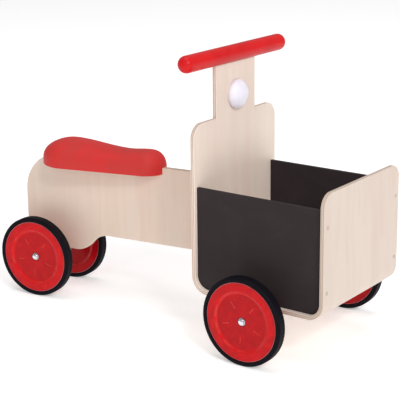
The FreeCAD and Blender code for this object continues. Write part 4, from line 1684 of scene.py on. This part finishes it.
@dataclass
class Wheel:
    """One wheel: a dished red disc with small ribs, a plain rubber tyre, and a nylon hub bush."""

    half: Half
    where: str
    outward: int
    radius: float = 65 * MM
    disc_radius: float = 58.25 * MM
    half_tyre: float = 8.3 * MM
    shoulder: float = 3.2 * MM
    half_disc: float = 7.7 * MM
    dish_floor: float = 4.7 * MM
    dish_radius: float = 41 * MM
    dish_lip: float = 45.5 * MM
    dish_round: float = 3.5 * MM
    boss_radius: float = 10.5 * MM
    bush_radius: float = 6 * MM
    bush_end: float = 1.6 * MM
    pocket_radius: float = 6.7 * MM
    rim_round: float = 1.2 * MM
    crown: float = 1.0 * MM
    bore_radius: float = 4.05 * MM
    ribs: int = 5
    rib_angle: float = -122.0
    rib_radius: float = 27 * MM
    rib_length: float = 12 * MM
    rib_width: float = 2 * MM
    rib_height: float = 0.8 * MM
    rib_round: float = 0.7 * MM

    def middle(self, part: str) -> Vector:
        """Middle of the wheel's tyre or disc, in its half's frame."""
        return self.half.span(part + "_" + self.where).centre

    def finished(self, blank: Blank, part: str, ending: str, finish: Finish, **options: object) -> None:
        """Finishes one part of the wheel, on the wheel's own body."""
        blank.piece(part + "_" + self.where + "_" + ending, self.half, finish, part + "_" + self.where,
                    "wheel_" + self.where, **options)

    def tyre(self) -> None:
        """The tyre, with rounded shoulders and a fine moulding line round the tread."""
        wide, line, lip, rim = self.half_tyre, 0.35 * MM, self.disc_radius + 0.5 * MM, 0.7 * MM
        corners = [(self.disc_radius, rim - wide, 0), (lip, -wide, 0.3 * MM),
                   (self.radius, -wide, self.shoulder), (self.radius, -line, 0),
                   (self.radius - 0.2 * MM, 0, 0), (self.radius, line, 0),
                   (self.radius, wide, self.shoulder), (lip, wide, 0.3 * MM),
                   (self.disc_radius, wide - rim, 0)]
        blank = Blank.turned(corners, self.middle("tyre"), Y, closed=True, steps=144)
        self.finished(blank, "tyre", "rubber", TyreRubber("black tyre rubber", Slot.TYRE))

    def disc(self) -> None:
        """The dished disc with its hub boss, cap pocket and ribs."""
        centre = self.middle("disc")
        deep, face, lip = self.dish_floor, self.half_disc, self.dish_round
        corners = [(self.bush_radius, -face, 0), (self.boss_radius, -face, 0.5 * MM),
                   (self.boss_radius, -deep, 1.8 * MM), (self.dish_radius, -deep, lip),
                   (self.dish_lip, -face, lip), (self.disc_radius, -face + self.crown, self.rim_round),
                   (self.disc_radius, face - self.crown, self.rim_round), (self.dish_lip, face, lip),
                   (self.dish_radius, deep, lip), (self.pocket_radius, deep, 0.6 * MM),
                   (self.pocket_radius, self.bush_end, 0), (self.bush_radius, self.bush_end, 0)]
        blank = Blank.turned(corners, centre, Y * self.outward, closed=True, steps=128)
        blank.join(self.rib(index, centre) for index in range(self.ribs))
        red = MouldedRed("moulded red plastic", Slot.DISC, rim=self.disc_radius, dish=self.dish_radius,
                         floor=self.dish_floor)
        self.finished(blank, "disc", "moulded", red, crease=55.0,
                      grain=lambda point: Vector((math.hypot(point.x - centre.x, point.z - centre.z),
                                                  (point.y - centre.y) * self.outward, 0.0)))

    def rib(self, index: int, centre: Vector) -> Blank:
        """One of the small radial ribs on the outer dish.

        Args:
            index: which rib.
            centre: the disc's middle.

        Returns:
            The rib.
        """
        length, width, high = self.rib_length / 2, self.rib_width / 2, self.rib_height
        levels = sorted((self.outward * (self.dish_floor - high), self.outward * (self.dish_floor + high)))
        low = Vector((self.rib_radius - length, levels[0], -width))
        rib = Blank.block(low, Vector((self.rib_radius + length, levels[1], width))).soften(self.rib_round)
        turn = math.radians(self.rib_angle - index * 360 / self.ribs)
        return rib.move(Matrix.Translation(centre) @ Matrix.Rotation(turn, 4, "Y"))

    def bush(self) -> None:
        """The nylon bush that the wheel turns on."""
        inner_end = -self.half_disc - 0.1 * MM
        corners = [(self.bore_radius, inner_end, 0), (self.bush_radius, inner_end, 0.2 * MM),
                   (self.bush_radius, self.bush_end, 0), (self.bore_radius, self.bush_end, 0)]
        blank = Blank.turned(corners, self.middle("disc"), Y * self.outward, closed=True)
        self.finished(blank, "hub_bush", "nylon", NYLON)

    def build(self) -> None:
        """Builds the wheel."""
        self.tyre()
        self.disc()
        self.bush()


# ---- the studio ----


@dataclass
class Studio:
    """A white sweep of floor, soft lights, and the camera."""

    white: Colour = (0.92, 0.92, 0.92)
    whiter: Colour = (0.925, 0.925, 0.925)
    floor_size: float = 14.0
    floor_glow: float = 0.35
    surround: float = 0.42
    aim: Colour = (0, 0, 0.15)
    target: Colour = (0.020198, 0.011264, 0.175169)
    azimuth: float = 36.36
    elevation: float = 16.08
    roll: float = -0.689
    distance: float = 1.99995
    lens: float = 116.895
    sensor: float = 36.0
    reach: float = 60.0

    def floor(self) -> None:
        """The plain pale floor."""
        blank = Blank()
        bmesh.ops.create_grid(blank.mesh, x_segments=2, y_segments=2, size=self.floor_size / 2)
        made = bpy.data.meshes.new("studio_floor")
        blank.mesh.to_mesh(made)
        blank.mesh.free()
        bench = Bench("matt white floor")
        shade = bench.blend(bench.noise(bench.place(), 60.0, 2.0), self.white, self.whiter)
        made.materials.append(bench.finish(Base_Color=shade, Roughness=0.9, Specular_IOR_Level=0.1,
                                           Emission_Color=(1.0, 1.0, 1.0, 1.0),
                                           Emission_Strength=self.floor_glow))
        floor = bpy.data.objects.new("studio_floor", made)
        bpy.context.scene.collection.objects.link(floor)

    def world(self) -> None:
        """An even white surround."""
        world = bpy.data.worlds.new("white surround")
        world.use_nodes = True
        background = world.node_tree.nodes["Background"]
        background.inputs["Color"].default_value = (1.0, 1.0, 1.0, 1.0)
        background.inputs["Strength"].default_value = self.surround
        bpy.context.scene.world = world

    def light(self, name: str, place: Colour, size: float, power: float) -> None:
        """A soft square light that faces the bike.

        Args:
            name: its name.
            place: where it hangs.
            size: its edge length.
            power: in watts.
        """
        lamp = bpy.data.lights.new(name, "AREA")
        lamp.size = size
        lamp.energy = power
        thing = bpy.data.objects.new(name, lamp)
        thing.location = place
        thing.rotation_euler = (Vector(self.aim) - Vector(place)).to_track_quat("-Z", "Y").to_euler()
        bpy.context.scene.collection.objects.link(thing)

    def camera(self) -> None:
        """The camera, turned round the bike and rolled a little."""
        turn, rise, roll = (math.radians(value) for value in (self.azimuth, self.elevation, self.roll))
        back = Vector((math.sin(turn) * math.cos(rise), -math.cos(turn) * math.cos(rise), math.sin(rise)))
        right = Vector((math.cos(turn), math.sin(turn), 0))
        up = back.cross(right)
        rolled_right = right * math.cos(roll) + up * math.sin(roll)
        rolled_up = up * math.cos(roll) - right * math.sin(roll)
        lens = bpy.data.cameras.new("camera")
        lens.lens = self.lens
        lens.sensor_width = self.sensor
        lens.clip_end = self.reach
        thing = bpy.data.objects.new("camera", lens)
        facing = Matrix((rolled_right, rolled_up, back)).transposed().to_4x4()
        thing.matrix_world = Matrix.Translation(Vector(self.target) + back * self.distance) @ facing
        bpy.context.scene.collection.objects.link(thing)
        bpy.context.scene.camera = thing

    def build(self) -> None:
        """Sets up the studio."""
        self.floor()
        self.world()
        self.light("key", (6.0, -2.6, 4.4), 2.4, 188.0)
        self.light("spark", (3.0, -2.2, 2.9), 0.45, 30.0)
        self.light("side", (0.75, -2.7, 1.55), 0.2, 4.0)
        self.light("top", (0.0, 0.0, 6.0), 4.0, 110.0)
        self.camera()
        bpy.context.scene.view_settings.view_transform = "Standard"


def main() -> None:
    """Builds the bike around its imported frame."""
    logging.basicConfig(level=logging.INFO, format="%(message)s")
    stance = Stance.read()
    CargoCarrier(stance.carrier).build()
    SteeringHinge(stance.carrier, stance.board).build()
    UprightBoard(stance.board).build()
    Saddle(stance.board).build()
    for half, end in ((stance.carrier, "front"), (stance.board, "rear")):
        for side, outward in (("left", 1), ("right", -1)):
            Wheel(half, end + "_" + side, outward).build()
    Studio().build()


if __name__ == "__main__":
    main()
